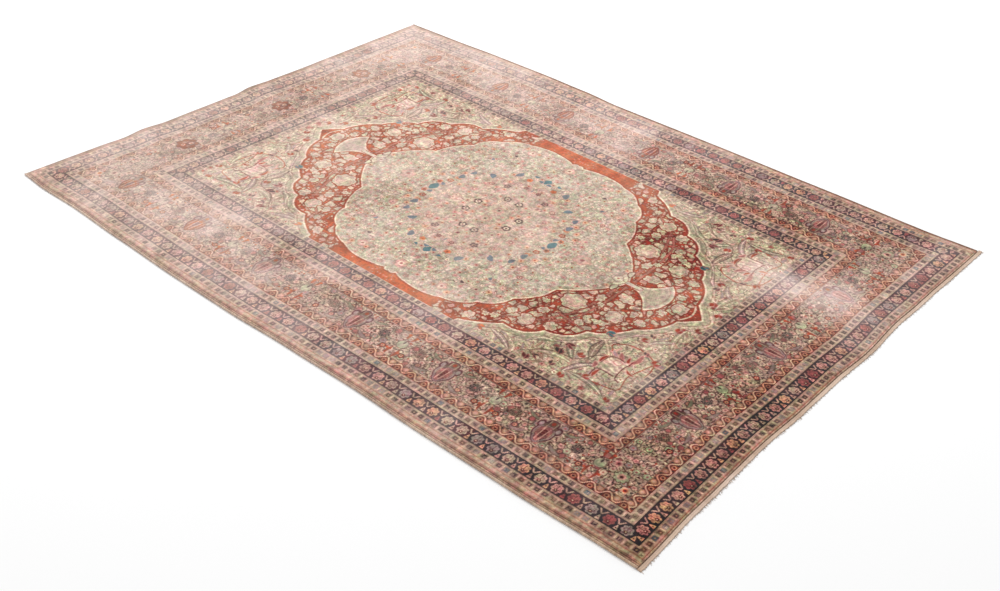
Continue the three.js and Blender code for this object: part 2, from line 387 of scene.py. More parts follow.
def polygon(x, y, points):
    """Signed distance to a closed polygon."""
    inside = np.zeros(x.shape, bool)
    for (x0, y0), (x1, y1) in zip(points, np.roll(points, -1, 0)):
        if y0 != y1:
            inside ^= ((y0 <= y) != (y1 <= y)) & (x < x0 + (y - y0) / (y1 - y0) * (x1 - x0))
    nearest = to_runs(x, y, [*points, points[0]])
    return np.where(inside, -nearest, nearest)


def stem(board, points, width, dye, strength=1.0):
    """A curved line through points, drawn as short straight runs."""
    points = np.array(points, float)
    ends = np.concatenate([2 * points[:1] - points[1:2], points, 2 * points[-1:] - points[-2:-1]])
    t = np.linspace(0, 1, 7)[:-1, None]
    t2, t3 = t ** 2, t ** 3
    runs = [0.5 * (2 * b + (c - a) * t + (2 * a - 5 * b + 4 * c - d) * t2 + (3 * b - a - 3 * c + d) * t3)
            for a, b, c, d in zip(ends, ends[1:], ends[2:], ends[3:])]
    line = np.concatenate(runs + [points[-1:]])
    low, high = line.min(0), line.max(0)
    stamp = Stamp(board, *((high + low) / 2), (high - low).max() / 2 + width + 2)
    stamp.fill(to_runs(stamp.x, stamp.y, line) - width / 2, dye, strength)
    stamp.done()


# ---- motifs
def blossom(board, x, y, radius, outer, inner, heart, rim, count):
    """A round flower: a rim, two rings of petals and a heart."""
    stamp = Stamp(board, x, y, radius * 1.5 + 3)
    place = stamp.along, stamp.across
    r, body = np.hypot(*place), petals(*place, radius, count, 0.14)
    stamp.fill(petals(*place, radius + 1.8, count, 0.12), rim)
    stamp.fill(body, outer)
    if radius > 6:
        ray = np.abs(np.sin(np.arctan2(stamp.across, stamp.along) * count / 2)) * r
        stamp.fill(ray - 0.7, rim, 0.7 * (r > radius * 0.5) * (body < -1.5))
    stamp.fill(petals(*place, radius * 0.6, count, 0.12, math.pi / count), inner)
    stamp.fill(r - radius * 0.26, heart)
    stamp.done()


def leaf(board, x, y, length, width, bend, turn, dye, rim, rib=None, strength=1.0):
    """A saz leaf: a rim, a blade and a midrib with side veins."""
    stamp = Stamp(board, x, y, length * 0.62 + 4, turn)
    a, b = stamp.along, stamp.across
    body = blade(a, b, length, width, bend)
    stamp.fill(blade(a, b, length + 5, width + 4.4, bend), rim, strength)
    stamp.fill(body, dye, strength)
    if rib:
        off = np.abs(b - bend * (1 - np.clip(2 * a / length, -1, 1) ** 2))
        stamp.line((a + off * 0.9) % 9.0 - 4.5, 0.8, rib, 0.6 * (body < -1.2))
        stamp.fill(off - 0.9, rib, body < -1.2)
    stamp.done()


def pale_bloom(board, x, y, half_along, half_across, turn):
    """A big straw-coloured flower with a scalloped edge, faint rings inside it and a dark rim."""
    stamp = Stamp(board, x, y, max(half_along, half_across) + 8, turn)
    a, b = stamp.along, stamp.across
    lobes = 3.4 * np.abs(np.cos(np.arctan2(b, a) * 3.5))
    uneven = 2.6 * noise(stamp.x, stamp.y, 8, 14)
    shape = oval(a, b, half_along, half_across) - lobes + uneven + 2.2
    for grown, dye in ((3.0, "brick"), (1.2, "rust"), (0.0, "straw")):
        stamp.fill(shape - grown, dye)
    stamp.fill(noise(stamp.x, stamp.y, 7, 15) * 6 - 0.5, "pink", 0.5 * (shape < -1))
    stamp.line(shape + 4.5, 0.9, "sage", 0.6)
    stamp.line(shape + 10.0, 0.9, "camel", 0.6)
    stamp.line(b, 0.8, "brick", 0.6 * between(shape, -9.0, -3.0))
    stamp.done()


# The corner palmette's petals: x and y from its middle, length, width, bend, turn and dye.
PALMETTE_PETALS = [
    (29, -36, 44, 9, -6, 100, "rose"), (25, -22, 28, 6, 4, 60, "brick"), (6, -24, 32, 8, 3, 50, "rose"),
    (-20, 2, 28, 6, 3, 96, "brick"), (-25, 30, 20, 7, -3, 66, "rose"), (-4, 52, 30, 6, 3, 84, "brick"),
    (44, 6, 22, 5, 3, 20, "brick"), (-12, -28, 24, 6, 3, 40, "mauve")]


def corner_palmette(board, x, y):
    """The open palmette in each corner of the field: a pale bell in a dark line, with red petals."""
    def strokes(rows):
        for points, width, dye, strength in rows:
            stem(board, np.array((x, y)) + points, width, dye, strength)

    stalk = [(-54, -50), (-38, -34), (-20, -14)]
    strokes([(stalk, 8.0, "camel", 0.7), (stalk, 4.0, "cream", 0.8)])
    for dx, dy, length, width, bend, turn, dye in PALMETTE_PETALS:
        leaf(board, x + dx, y + dy, length, width, bend, turn, dye, "pink")
    stamp = Stamp(board, x, y, 60)
    a, b = stamp.along, stamp.across
    bell = np.maximum(np.abs(a - 6 - b * 0.04) - 22, np.abs(b - 11 + a * 0.1) - 26)
    bell = bell + 3 * noise(stamp.x, stamp.y, 14, 12)
    stamp.fill(bell + 1, mixed("cream", "pink", 0.5), 0.75)
    streak = np.abs((b - a * 0.25 + 3 * noise(stamp.x, stamp.y, 9, 13)) % 11.0 - 5.5)
    stamp.fill(streak - 1.6, "ivory", bell < -2)
    stamp.fill(4.6 - streak, "mauve", 0.7 * (bell < -2))
    stamp.fill(oval(a + 6, b - 20, 8, 6), "celadon", 0.6)
    stamp.line(oval(a - 8, b + 4, 9, 7), 1.0, "rose", 0.8)
    stamp.done()
    strokes([([(30, -22), (26, 4), (31, 38), (44, 46)], 2.6, "madder", 1.0),
             ([(26, 38), (4, 36), (-14, 38), (-10, 64)], 2.4, "madder", 1.0),
             ([(18, -14), (4, -17), (-16, -8), (-18, 18)], 2.0, "madder", 0.8)])


def bulb_palmette(board, x, y, turn, rings):
    """The dark palmette of the main border, about 52 by 72 mm: rings in a pointed oval under a crown."""
    stamp = Stamp(board, x, y, 54, turn)
    a, b = stamp.along, np.abs(stamp.across)
    body = np.minimum(oval(a + 4, b, 25, 21), blade(a + 16, b, 42, 30))
    curl = oval(a - 14, b - 19, 10, 6.5)
    crown = np.minimum(oval(a - 25, b, 11, 12), oval(a - 16, b - 10, 7, 7))
    outline = np.minimum(np.minimum(body, curl), crown)
    stamp.fill(outline - 3.0, "beige", 0.5)
    stamp.fill(outline - 0.8, "wine")
    for depth, dye in zip((1.6, 5.0, 6.8, 13.0), rings):
        stamp.fill(body + depth, dye, 0.85)
    stamp.line(b - 5.5 - a * 0.06, 1.1, "pink", body < -7)
    stamp.line(b - 14.0, 1.0, "dust", body < -3)
    stamp.fill(np.abs(np.sin(a * 0.42 + b * 0.3)) * 3 - 1.0, "beige", 0.3 * (body < -2))
    stamp.fill(curl + 2.4, "mauve")
    stamp.fill(crown + 2.2, "brown")
    stamp.fill(oval(a - 26, b, 5, 4), "brick")
    stamp.line(b - 7, 0.9, "dust", crown < -2)
    stamp.done()


def speckled_rosette(board, x, y, radius, dye):
    """A round dark flower of many small checks."""
    stamp = Stamp(board, x, y, radius * 1.5)
    a, b = stamp.along, stamp.across
    r = np.hypot(a, b)
    stamp.fill(petals(a, b, radius + 1.5, 8, 0.05), "dust", 0.6)
    stamp.fill(petals(a, b, radius, 8, 0.06), dye)
    checks = np.sin(np.arctan2(b, a) * 8) * np.sin(r * 1.15) > 0.35
    stamp.lay(checks * (r < radius - 1.5) * 0.7, "beige")
    stamp.fill(r - 2.6, "rose")
    stamp.done()


def green_oval(board, x, y, turn):
    """A pale green bud with a black eye, between two red-brown sprays that point in and out."""
    stamp = Stamp(board, x, y, 44, turn)
    a, b = stamp.along, np.abs(stamp.across)
    for middle, reach, lean in ((28, 22, 5), (-30, 30, 8)):
        stamp.fill(blade(a - middle, b - lean, reach, 6, 3), "brick", 0.85)
        stamp.fill(np.hypot(a - middle - 4, b - lean * 2) - 3.2, "coral", 0.8)
    stamp.fill(oval(a, b, 13.5, 12.5), "brown")
    stamp.fill(oval(a, b, 12, 11), "celadon")
    stamp.line(oval(a, b, 8, 7), 0.7, "sage", 0.6)
    stamp.fill(oval(a - 7, b, 5.5, 2.2), "umber")
    stamp.done()


def quarter_cells(patch, cell):
    """The same grid of cells in all four quarters: each sample's place, and its cell's numbers."""
    x, y = np.abs(patch.x), np.abs(patch.y)
    return x, y, np.floor(x / cell), np.floor(y / cell)


def scatter(patch, cell, size, count, depth, dyes, seed, density, stretch=1, heart=None, rim=None, edge=1.3):
    """A small flower or leaf in each cell of a loose grid."""
    x, y, ix, iy = quarter_cells(patch, cell)
    keep = hashed(ix, iy, seed) < density
    room = max(0.0, 1 - 1.7 * size / cell)
    dx = x - (ix + 0.5 + (hashed(ix, iy, seed + 1) - 0.5) * room) * cell
    dy = y - (iy + 0.5 + (hashed(ix, iy, seed + 2) - 0.5) * room) * cell
    turn = hashed(ix, iy, seed + 3) * 2 * math.pi
    along, across = dx * np.cos(turn) + dy * np.sin(turn), (dy * np.cos(turn) - dx * np.sin(turn)) * stretch
    shape = petals(along, across, size * (0.75 + 0.4 * hashed(ix, iy, seed + 4)), count, depth)
    if rim:
        patch.fill(shape - edge, rim, keep)
    patch.pick(shape, hashed(ix, iy, seed + 5) * len(dyes), enumerate(dyes), 1, keep)
    if heart:
        patch.fill(np.hypot(along, across) - size * 0.35, heart, keep)


STRIP_REACH = 150.0  # beside the middle of each side, the medallion's red is plain


def crowd(patch, cell, gap, dyes, seed, density, rim, heart=None):
    """Uneven petals that crowd against each other beyond the plain strip, each in a dark rim."""
    x, y = np.abs(patch.x), np.abs(patch.y)
    waver = [0.16 * cell * noise(x, y, cell * 0.4, seed + salt) for salt in (6, 7)]
    x, y = x + waver[0], y + waver[1]
    ix, iy = np.floor(x / cell), np.floor(y / cell)
    first, second = np.full(x.shape, 1e9), np.full(x.shape, 1e9)
    pick, column = np.zeros(x.shape), np.zeros(x.shape)
    for step_x in (-1, 0, 1):
        for step_y in (-1, 0, 1):
            jx, jy = ix + step_x, iy + step_y
            reach = np.hypot(x - (jx + 0.15 + 0.7 * hashed(jx, jy, seed + 1)) * cell,
                             y - (jy + 0.15 + 0.7 * hashed(jx, jy, seed + 2)) * cell)
            nearer = reach < first
            second = np.where(nearer, first, np.minimum(second, reach))
            pick, column = np.where(nearer, hashed(jx, jy, seed + 3), pick), np.where(nearer, jx, column)
            first = np.minimum(first, reach)
    keep = (pick < density) & (column * cell > STRIP_REACH)
    shape = np.maximum(gap - (second - first) / 2, first - cell * 0.62)
    patch.fill(shape - gap * 0.6, rim, keep)
    vein = 0.85 + 0.15 * np.cos(first * 1.6)
    patch.pick(shape, pick * len(dyes) / density, enumerate(dyes), 1, vein * keep)
    if heart:
        patch.line(first - cell * 0.2, 0.8, heart, 0.8 * keep)


def scrolls(patch, cell, width, dye, seed, strength):
    """Fine spiral vines, one coil in each cell, which turn left and right by turns."""
    x, y, ix, iy = quarter_cells(patch, cell)
    hand = np.where((ix + iy) % 2 == 0, 1.0, -1.0)
    dx, dy = x - (ix + 0.5) * cell, (y - (iy + 0.5) * cell) * hand
    r, step = np.hypot(dx, dy), cell * 0.3
    turns = r / step - np.arctan2(dy, dx) / (2 * math.pi) - hashed(ix, iy, seed)
    arm = np.abs(turns - np.round(turns)) * step
    patch.fill(arm - width / 2, dye, strength * between(r, step * 0.3, cell * 0.6))


# ---- stripes and borders
def ruled_line(inset, width, dye, strength=1.0):
    band = Band(inset - width, inset + width)
    band.line(band.t, width / 2, dye, strength)
    band.done()


def plain_edge(outer, inner):
    """The plain ribbed ground at the very edge, inside a dark double line."""
    band = Band(outer, inner)
    band.lay(1, "beige")
    band.lay(np.clip((-band.x - 400) / 400, 0, 1) * (band.y > -600) * 0.8, "camel")
    band.lay((np.abs(band.t % 4.0 - 2.0) < 0.8) * 0.25, "tan")
    band.done()
    ruled_line(3.0, 1.4, "madder", 0.8)
    ruled_line(5.6, 1.2, "brick", 0.6)


# Each stripe's pitch in mm, and its dyes, each with the number from 0 to 1 where its turn starts.
SQUARE_PITCH, SQUARE_HALF, ROSETTE_PITCH, WAVE_PITCH = 17.0, 4.8, 36.0, 35.8
SQUARE_DYES = ((0.0, "aubergine"), (0.3, "brown"), (0.5, "umber"), (0.72, "slate"), (0.8, "mauve"))
FAN_DYES = ((0.0, "pink"), (0.3, "peach"), (0.44, "rose"), (0.62, "beige"), (0.8, "mauve"))
TULIP_DYES = ((0.0, "pink"), (0.35, "beige"), (0.6, "peach"), (0.8, "rose"))


def squares_stripe(outer, inner, seed):
    """Small dark boxes on a pinkish ground, with pale bars between them."""
    band = Band(outer, inner)
    band.lay(1, mixed("beige", "dust", 0.45))
    number, s = band.repeat(SQUARE_PITCH)
    pick, shade = hashed(number, band.side, seed), hashed(number, band.side, seed + 1)
    box = np.maximum(np.abs(s), np.abs(band.t))
    for place, half, dye in ((7.8, 0.9, "ivory"), (5.9, 0.6, "brown")):
        band.line(np.abs(s) - place, half, dye, 0.35 * (np.abs(band.t) < 5.5))
    band.pick(box - SQUARE_HALF, pick, SQUARE_DYES, 0.3, 0.7 + 0.3 * shade)
    checks = np.sin(s * 2.1) * np.sin(band.t * 2.1) > 0.15
    band.lay(checks * (box < 4.0) * (shade > 0.5) * 0.55, "cream")
    band.fill(box - 1.6, "tan", shade <= 0.5)
    band.done()


def rosette_stripe(outer, inner, seed):
    """Fans and tulips by turns on a dark ground between two dark lines."""
    band = Band(outer, inner)
    number, s = band.repeat(ROSETTE_PITCH)
    pick, tint = hashed(number, band.side, seed), hashed(number, band.side, seed + 1)
    t = band.t * (28.0 / (inner - outer))
    band.lay(1, "aubergine")
    band.lay((tint > 0.62) * 0.5, "ink")
    band.lay((tint < 0.3) * 0.5, "wine")
    fan = petals(t + 1.0, s, 11.5, 7, 0.13)
    band.pick(fan, pick, FAN_DYES, 0.3)
    ray = np.abs(np.sin(np.arctan2(s, t + 8.0) * 4.5)) * np.hypot(s, t + 8.0)
    band.fill(ray - 1.5, "wine", 0.85 * (fan < -1.4))
    band.line(fan + 4.2, 0.7, "wine", 0.5)
    band.fill(np.hypot(s, t + 5.0) - 3.0, "madder")
    band.fill(np.hypot(s, t + 5.0) - 1.3, "cream")
    number, g = band.repeat(ROSETTE_PITCH, 0.5)
    band.line(np.abs(g) - (t - 1.0) * 0.75, 1.7, mixed("beige", "pink", 0.5), between(t, 1.5, 11.0))
    tulip = np.abs(g) - (4.6 - (t + 12.0) * 0.36)
    band.pick(tulip, hashed(number, band.side, seed + 2), TULIP_DYES, 0.35, between(t, -12.0, -1.5))
    band.fill(np.hypot(g, t + 8.0) - 1.4, "wine")
    band.done()
    ruled_line(outer, 1.8, "umber")
    ruled_line(inner, 1.8, "umber")


def wave_stripe(outer, inner, seed):
    """A pale meander with a curl in each arch and a dark red triangle outside each bend."""
    band = Band(outer, inner)
    number, s = band.repeat(WAVE_PITCH)
    phase = s / (band.length / np.round(band.length / WAVE_PITCH)) * 2 * math.pi
    reach = (inner - outer) / 2 - 3.2
    crest = reach * np.sin(phase) * (1.2 - 0.2 * np.abs(np.sin(phase)))
    slope = np.cos(phase) * 2 * math.pi * reach / WAVE_PITCH
    off = (band.t - crest) / np.sqrt(1 + slope * slope)
    band.lay(1, mixed("brick", "brown", 0.4))
    band.fill(-off, "tan", 0.6)
    for shift, up, dye in ((-0.25, -1, "madder"), (0.25, 1, "pink")):
        _, g = band.repeat(WAVE_PITCH, shift)
        r = np.hypot(g, band.t - up * reach * 0.45)
        band.line(r - 3.8, 1.0, "peach", 0.8)
        band.fill(r - 2.6, dye)
        band.fill(np.hypot(np.abs(g) - 9.0, band.t - up * reach * 0.9) - 2.4, "umber")
    band.line(off, 2.6, "madder")
    band.line(off, 1.5, "peach")
    band.line(off, 1.0, "cream", 0.6 * (hashed(number, band.side, seed) > 0.5))
    band.done()


MAIN_OUTER, MAIN_INNER = 107.0, 188.0
MAIN_MIDDLE = (MAIN_OUTER + MAIN_INNER) / 2
RINGS, DEEP_RINGS = ("mauve", "wine", "rose", "madder"), ("brick", "madder", "brick", "wine")
SIDE_PALMETTES = (-680, -424, -187, 92, 334, 578)
END_PALMETTES = (-294, 4, 288)
# What lies on both sides of each palmette, by how far along the border and how far inwards of it.
UNIT_FLOWERS = ((40, 26, 6.5, "rose"), (52, -22, 6, "rose"), (96, -24, 6.5, "brick"))  # and radius and dye
UNIT_VINES = (((34, -8), (60, 22)), ((84, -16), (110, 8)), ((70, 26), (100, 20)))  # from one place to another
UNIT_LEAVES = ((44, -26, 34, 7, 70, "mauve"), (42, 26, 30, 6, 110, "sage"))  # and length, width, turn and dye


def palmette_unit(side, along, on_side):
    """One dark palmette of the main border, or a round flower at the left end, and what lies round it."""
    if on_side:
        turn, inwards, onwards = -90 * side, np.array((0.0, -side)), np.array((1.0, 0.0))
        middle = np.array((along, side * (HALF_WIDTH - MAIN_MIDDLE)), float)
    else:
        turn, inwards, onwards = 180 if side > 0 else 0, np.array((-side, 0.0)), np.array((0.0, 1.0))
        middle = np.array((side * (HALF_LENGTH - MAIN_MIDDLE), along), float)

    def at(step, depth):
        return middle + onwards * step + inwards * depth

    for way in (-1, 1):
        for step, depth, radius, dye in UNIT_FLOWERS:
            blossom(whole, *at(way * step, depth), radius, dye, "peach", "madder", "umber", 5)
        for near, far in UNIT_VINES:
            crown = ((near[0] + far[0]) / 2, (near[1] + far[1]) / 2 + 6)
            stem(whole, [at(way * step, depth) for step, depth in (near, crown, far)], 1.4, "umber", 0.7)
        speckled_rosette(whole, *at(way * 72, 5), 12.5, "umber" if way > 0 else "brown")
        for step, depth, reach, width, lean, dye in UNIT_LEAVES:
            turned = turn + lean * way
            leaf(whole, *at(way * step, depth), reach, width, 4 * way, turned, dye, "brown", strength=0.7)
    green_oval(whole, *at(123, 4), turn)
    if side < 0 and not on_side:
        blossom(whole, *middle, 27, "rust", "rose", "madder", "madder", 7)
        blossom(whole, *(middle + (4, 9)), 11, "madder", "pink", "brick", "rust", 4)
        blossom(whole, *(middle - (3, 10)), 9, "brick", "peach", "madder", "madder", 5)
    else:
        deep = along < 300 if side > 0 and on_side else side < 0 and along < -400
        bulb_palmette(whole, *at(0, 1), turn, DEEP_RINGS if deep else RINGS)


def main_border():
    """Dark palmettes, checked rosettes and green buds by turns on a ground full of small scrolls."""
    band = Band(MAIN_OUTER, MAIN_INNER)
    band.lay(1, "dust")
    scrolls(band, 27.0, 2.6, "umber", 3, 0.75)
    scrolls(band, 17.0, 2.0, "cream", 5, 0.7)
    scatter(band, 9.0, 3.0, 4, 0.3, ("cream", "beige", "pink", "beige"), 11, 0.7)
    scatter(band, 10.0, 3.4, 3, 0.3, ("umber", "brick", "brown", "madder"), 17, 0.6)
    scatter(band, 15.0, 7.0, 2, 0.3, ("brown", "brown", "cream", "madder"), 31, 0.6, stretch=3.6)
    scatter(band, 21.0, 6.8, 5, 0.12, ("rose", "pink", "celadon", "beige", "mauve"), 21, 0.7,
            heart="rose", rim="brown", edge=1.8)
    band.done()
    for on_side, places in ((True, SIDE_PALMETTES), (False, END_PALMETTES)):
        for side in (-1, 1):
            for along in places:
                palmette_unit(side, along, on_side)
    for sx in (-1, 1):
        for sy in (-1, 1):
            corner = np.array((sx * (HALF_LENGTH - MAIN_MIDDLE), sy * (HALF_WIDTH - MAIN_MIDDLE)))
            diagonal = np.array((-sx, -sy)) / math.sqrt(2)
            bent = [corner - diagonal * 40, corner + (sx * 8, -sy * 8), corner + diagonal * 44]
            stem(whole, bent, 3.0, "brown")
            blossom(whole, *corner, 15, "celadon", "pink", "madder", "brown", 8)
            blossom(whole, *(corner - diagonal * 34), 8, "peach", "coral", "wine", "beige", 5)
            blossom(whole, *(corner + diagonal * 34), 8, "pink", "rose", "wine", "beige", 5)


def borders():
    """All the stripes, from the cloth's edge to the field's."""
    plain_edge(-2, 15)
    ruled_line(15.0, 1.3, "brick", 0.7)
    squares_stripe(16, 33.5, 1)
    rosette_stripe(35, 66, 2)
    squares_stripe(67.5, 85.5, 3)
    wave_stripe(86, MAIN_OUTER, 4)
    main_border()
    ruled_line(188.5, 1.6, "brown")
    wave_stripe(190, 212, 6)
    squares_stripe(213.5, 233, 7)
    rosette_stripe(235, 265, 8)
    squares_stripe(266.5, FIELD_INSET, 9)


# ---- the field, one quarter turned over into four
FIELD_MIDDLE = (11.0, -7.0)
QUARTER_COLUMNS, QUARTER_ROWS = 510, 316
quarter = Board(*np.meshgrid((np.arange(QUARTER_COLUMNS) + 0.5) * SAMPLE,
                             (np.arange(QUARTER_ROWS) + 0.5) * SAMPLE), "field")
# The medallion's outlines: the point where each lobe starts, and how far it bulges on its way to the next.
OUTER_LOBES = [(582, 0, 1), (547, 41, 11), (500, 126, 10), (435, 200, 15), (374, 257, 16), (298, 300, 6),
               (222, 353, 8), (170, 420, 0)]
INNER_LOBES = [(392, 0, 12), (298, 126, 10), (256, 216, 12), (212, 282, 9), (148, 323, 14), (15, 322, 5),
               (0, 327, 0)]
LOBE_STEPS = 9


def zone(lobes):
    """Signed distance to the medallion that these lobes bound, closed well outside the quarter."""
    points = []
    share = np.arange(LOBE_STEPS) / LOBE_STEPS
    for (x0, y0, bulge), (x1, y1, _) in zip(lobes, lobes[1:]):
        dx, dy = x1 - x0, y1 - y0
        out = bulge / math.hypot(dx, dy) * np.sin(math.pi * share) ** 0.8
        points.extend(zip(x0 + dx * share + dy * out, y0 + dy * share - dx * out))
    (first_x, _, _), (last_x, last_y, _) = lobes[0], lobes[-1]
    points += [(last_x, last_y), (-60, last_y), (-60, -60), (first_x - 10, -60)]
    return polygon(quarter.x, quarter.y, np.array(points, float))


def corner_ground(outside):
    """Vines, leaves and small flowers on the greenish ground outside the medallion."""
    patch = quarter.where(outside > -2)
    patch.lay(1, "grass")
    patch.lay(0.2 + 0.2 * noise(patch.x, patch.y, 40, 9), "celadon")
    scrolls(patch, 44.0, 2.6, "camel", 41, 0.7)
    scrolls(patch, 23.0, 1.8, "sage", 43, 0.6)
    scatter(patch, 9.0, 3.2, 4, 0.3, ("ivory", "pink", "cream", "celadon"), 51, 0.75)
    scatter(patch, 8.0, 3.6, 2, 0.3, ("brown", "camel", "moss"), 53, 0.4, stretch=3.0)
    scatter(patch, 13.0, 7.0, 2, 0.3, ("moss", "brown", "tan", "rose"), 55, 0.55, stretch=4.0)
    scatter(patch, 17.0, 9.5, 2, 0.3, ("ivory", "mauve", "ivory", "cream"), 57, 0.6, 5, None, "camel", 1.4)
    scatter(patch, 24.0, 11.0, 2, 0.2, ("celadon", "tan", "pink", "mauve"), 61, 0.5, 2.8, None, "camel", 1.8)
    scatter(patch, 33.0, 6.0, 5, 0.2, ("pink", "ivory", "rose"), 71, 0.6, 1, "brick", "camel", 1.6)
    patch.done()


def red_ground(between_lines):
    """Pale leaves and blossoms packed close on the red, so that it shows as dark lines round them."""
    patch = quarter.where(between_lines < 2)
    patch.lay(1, "coral")
    patch.lay((0.5 + 0.5 * noise(patch.x, patch.y, 30, 5)) * np.clip((patch.x - 60) / 90, 0.2, 1), "brick")
    scatter(patch, 8.0, 3.0, 3, 0.3, ("rose", "rust", "brick", "pink"), 77, 0.5, stretch=1.6)
    crowd(patch, 9.0, 1.7, ("pink", "peach", "cream"), 101, 0.5, "rust")
    crowd(patch, 17.0, 2.8, ("straw", "pink", "cream", "straw"), 91, 0.55, "rust")
    crowd(patch, 31.0, 4.4, ("straw", "cream", "straw"), 81, 0.35, "rust", heart="sage")
    patch.done()


def middle_ground(inside):
    """Fine floral ground inside the medallion."""
    patch = quarter.where(inside < 2)
    patch.lay(1, "field")
    patch.lay(0.15 + 0.15 * noise(patch.x, patch.y, 50, 10), "celadon")
    scrolls(patch, 36.0, 2.4, "camel", 111, 0.55)
    scrolls(patch, 19.0, 1.8, "sage", 113, 0.6)
    scatter(patch, 9.0, 3.0, 4, 0.3, ("ivory", "pink", "celadon", "cream"), 121, 0.75)
    scatter(patch, 11.0, 4.4, 2, 0.3, ("brown", "rose", "sage", "mauve"), 125, 0.5, stretch=2.8)
    scatter(patch, 17.0, 5.4, 5, 0.25, ("pink", "ivory", "celadon"), 131, 0.6, heart="rose", rim="camel")
    scatter(patch, 31.0, 7.0, 6, 0.2, ("pink", "celadon", "peach"), 141, 0.6, heart="brick", rim="tan")
    ring = np.hypot(patch.x / 190, patch.y / 211)
    patch.lay(np.clip((0.96 - ring) * 6, 0, 1) * 0.25, "pink")
    patch.done()


# Leaves and blossoms of the medallion ring: x, y, length, width, turn and dye.
RING = [(0, 208, 26, 26, 90, "teal"), (13, 197, 15, 10, 20, "blue"), (74, 188, 26, 15, 105, "slate"),
        (120, 136, 24, 15, 40, "blue"), (162, 116, 20, 13, 100, "slate"), (171, 82, 22, 15, 80, "slate"),
        (188, 0, 34, 20, 100, "teal"), (179, 22, 15, 10, 60, "slate"), (36, 212, 14, 9, 160, "teal"),
        (0, 150, 13, 9, 90, "slate"), (176, 197, 13, 8, 60, "slate"), (141, 248, 12, 8, 20, "umber")]
# Small flowers of the whole field: x, y, radius, outer, inner and heart dyes.
FLOWERS = [
    (38, 184, 8, "orange", "orange", "brick"), (190, 27, 7, "orange", "brown", "brick"),
    (168, 72, 7, "orange", "brown", "umber"), (176, 48, 8, "brick", "peach", "wine"),
    (63, 22, 11, "umber", "cream", "wine"), (60, 124, 9, "aubergine", "tan", "wine"),
    (18, 79, 11, "umber", "cream", "madder"), (20, 150, 6, "madder", "pink", "wine"),
    (110, 60, 10, "pink", "rose", "cream"), (118, 6, 11, "pink", "cream", "rose"),
    (96, 108, 7, "rose", "cream", "madder"), (60, 66, 9, "celadon", "pink", "madder"),
    (0, 24, 12, "pink", "celadon", "madder"), (0, 112, 10, "celadon", "rose", "wine"),
    (268, 0, 20, "pink", "beige", "rose"), (214, 150, 6, "rose", "cream", "madder"),
    (230, 66, 10, "celadon", "pink", "rose"), (200, 120, 9, "pink", "cream", "rose"),
    (120, 292, 13, "pink", "cream", "rose"), (60, 270, 11, "celadon", "pink", "rose"),
    (0, 290, 15, "pink", "cream", "rose"), (180, 250, 10, "celadon", "pink", "madder"),
    (216, 206, 8, "pink", "cream", "brick"), (300, 40, 8, "celadon", "pink", "rose"),
    (330, 10, 7, "pink", "cream", "rose"), (40, 316, 6, "rose", "cream", "wine"),
    (232, 322, 9, "celadon", "cream", "coral")]
# Blooms on the red: x, y, half length, half width and turn.
BLOOMS = [(351, 136, 29, 27, 0), (444, 120, 20, 19, 0), (322, 255, 18, 20, 0), (437, 156, 9, 18, 70),
          (424, 50, 20, 13, 20), (507, 37, 11, 10, 0), (526, 0, 17, 19, 0), (494, 100, 13, 12, 0),
          (326, 205, 12, 12, 0), (374, 238, 15, 13, 40), (404, 186, 11, 9, 60), (306, 172, 10, 8, 0),
          (281, 252, 9, 12, 30), (226, 328, 11, 14, 40), (468, 84, 9, 11, 0), (384, 86, 11, 14, 0),
          (268, 290, 9, 8, 0), (248, 300, 7, 8, 0), (399, 104, 8, 7, 0)]
# Loose touches outside the medallion: x, y, length, width, turn and dye.
TOUCHES = [
    (397, 346, 28, 10, 28, "madder"), (440, 259, 26, 11, 150, "madder"), (538, 141, 18, 9, 120, "brick"),
    (473, 267, 20, 13, 60, "brick"), (595, 190, 20, 10, 100, "brick"), (597, 36, 18, 10, 80, "brick"),
    (568, 64, 20, 12, 60, "brick"), (434, 286, 28, 14, 10, "umber"), (484, 348, 21, 11, 40, "brick"),
    (274, 340, 20, 9, 160, "orange"), (541, 118, 16, 8, 30, "umber"), (521, 318, 22, 8, 120, "brick"),
    (476, 170, 24, 15, 130, "teal"), (612, 300, 15, 8, 110, "brick"), (566, 176, 14, 8, 20, "umber"),
    (604, 120, 14, 8, 80, "sage"), (410, 334, 22, 6, 160, "umber"), (590, 345, 16, 9, 40, "brick"),
    (610, 12, 14, 9, 80, "rose"), (448, 330, 16, 8, 70, "umber")]
# Long saz leaves: x, y, length, width, bend, turn, dye and rim.
LEAVES = [(509, 158, 84, 15, 8, 125, "mauve", "brown"), (486, 232, 70, 17, 6, 80, "tan", "umber"),
          (440, 232, 92, 15, 13, 140, "camel", "umber"), (452, 262, 70, 13, 8, 60, "sage", "brown"),
          (378, 294, 84, 17, 9, 146, "sage", "brown"), (430, 318, 96, 12, 12, 165, "celadon", "camel"),
          (606, 232, 90, 12, -10, 95, "celadon", "camel"), (588, 92, 84, 11, 9, 80, "celadon", "camel"),
          (534, 338, 90, 12, -9, 10, "sage", "brown"), (326, 344, 70, 12, -6, 20, "mauve", "brown"),
          (498, 306, 80, 12, 10, 118, "mauve", "brown"), (570, 130, 60, 11, 7, 130, "mauve", "camel"),
          (550, 92, 54, 10, 6, 140, "ivory", "camel")]
# Vines outside the medallion: points, width, dye and strength.
VINES = [([(524, 226), (500, 200), (520, 180), (560, 176), (596, 196), (606, 250)], 3.0, "brick", 0.85),
         ([(524, 226), (494, 250), (474, 286), (420, 300), (380, 340)], 3.0, "brown", 0.8),
         ([(596, 196), (580, 262), (588, 310), (540, 322)], 2.6, "brick", 0.8)]
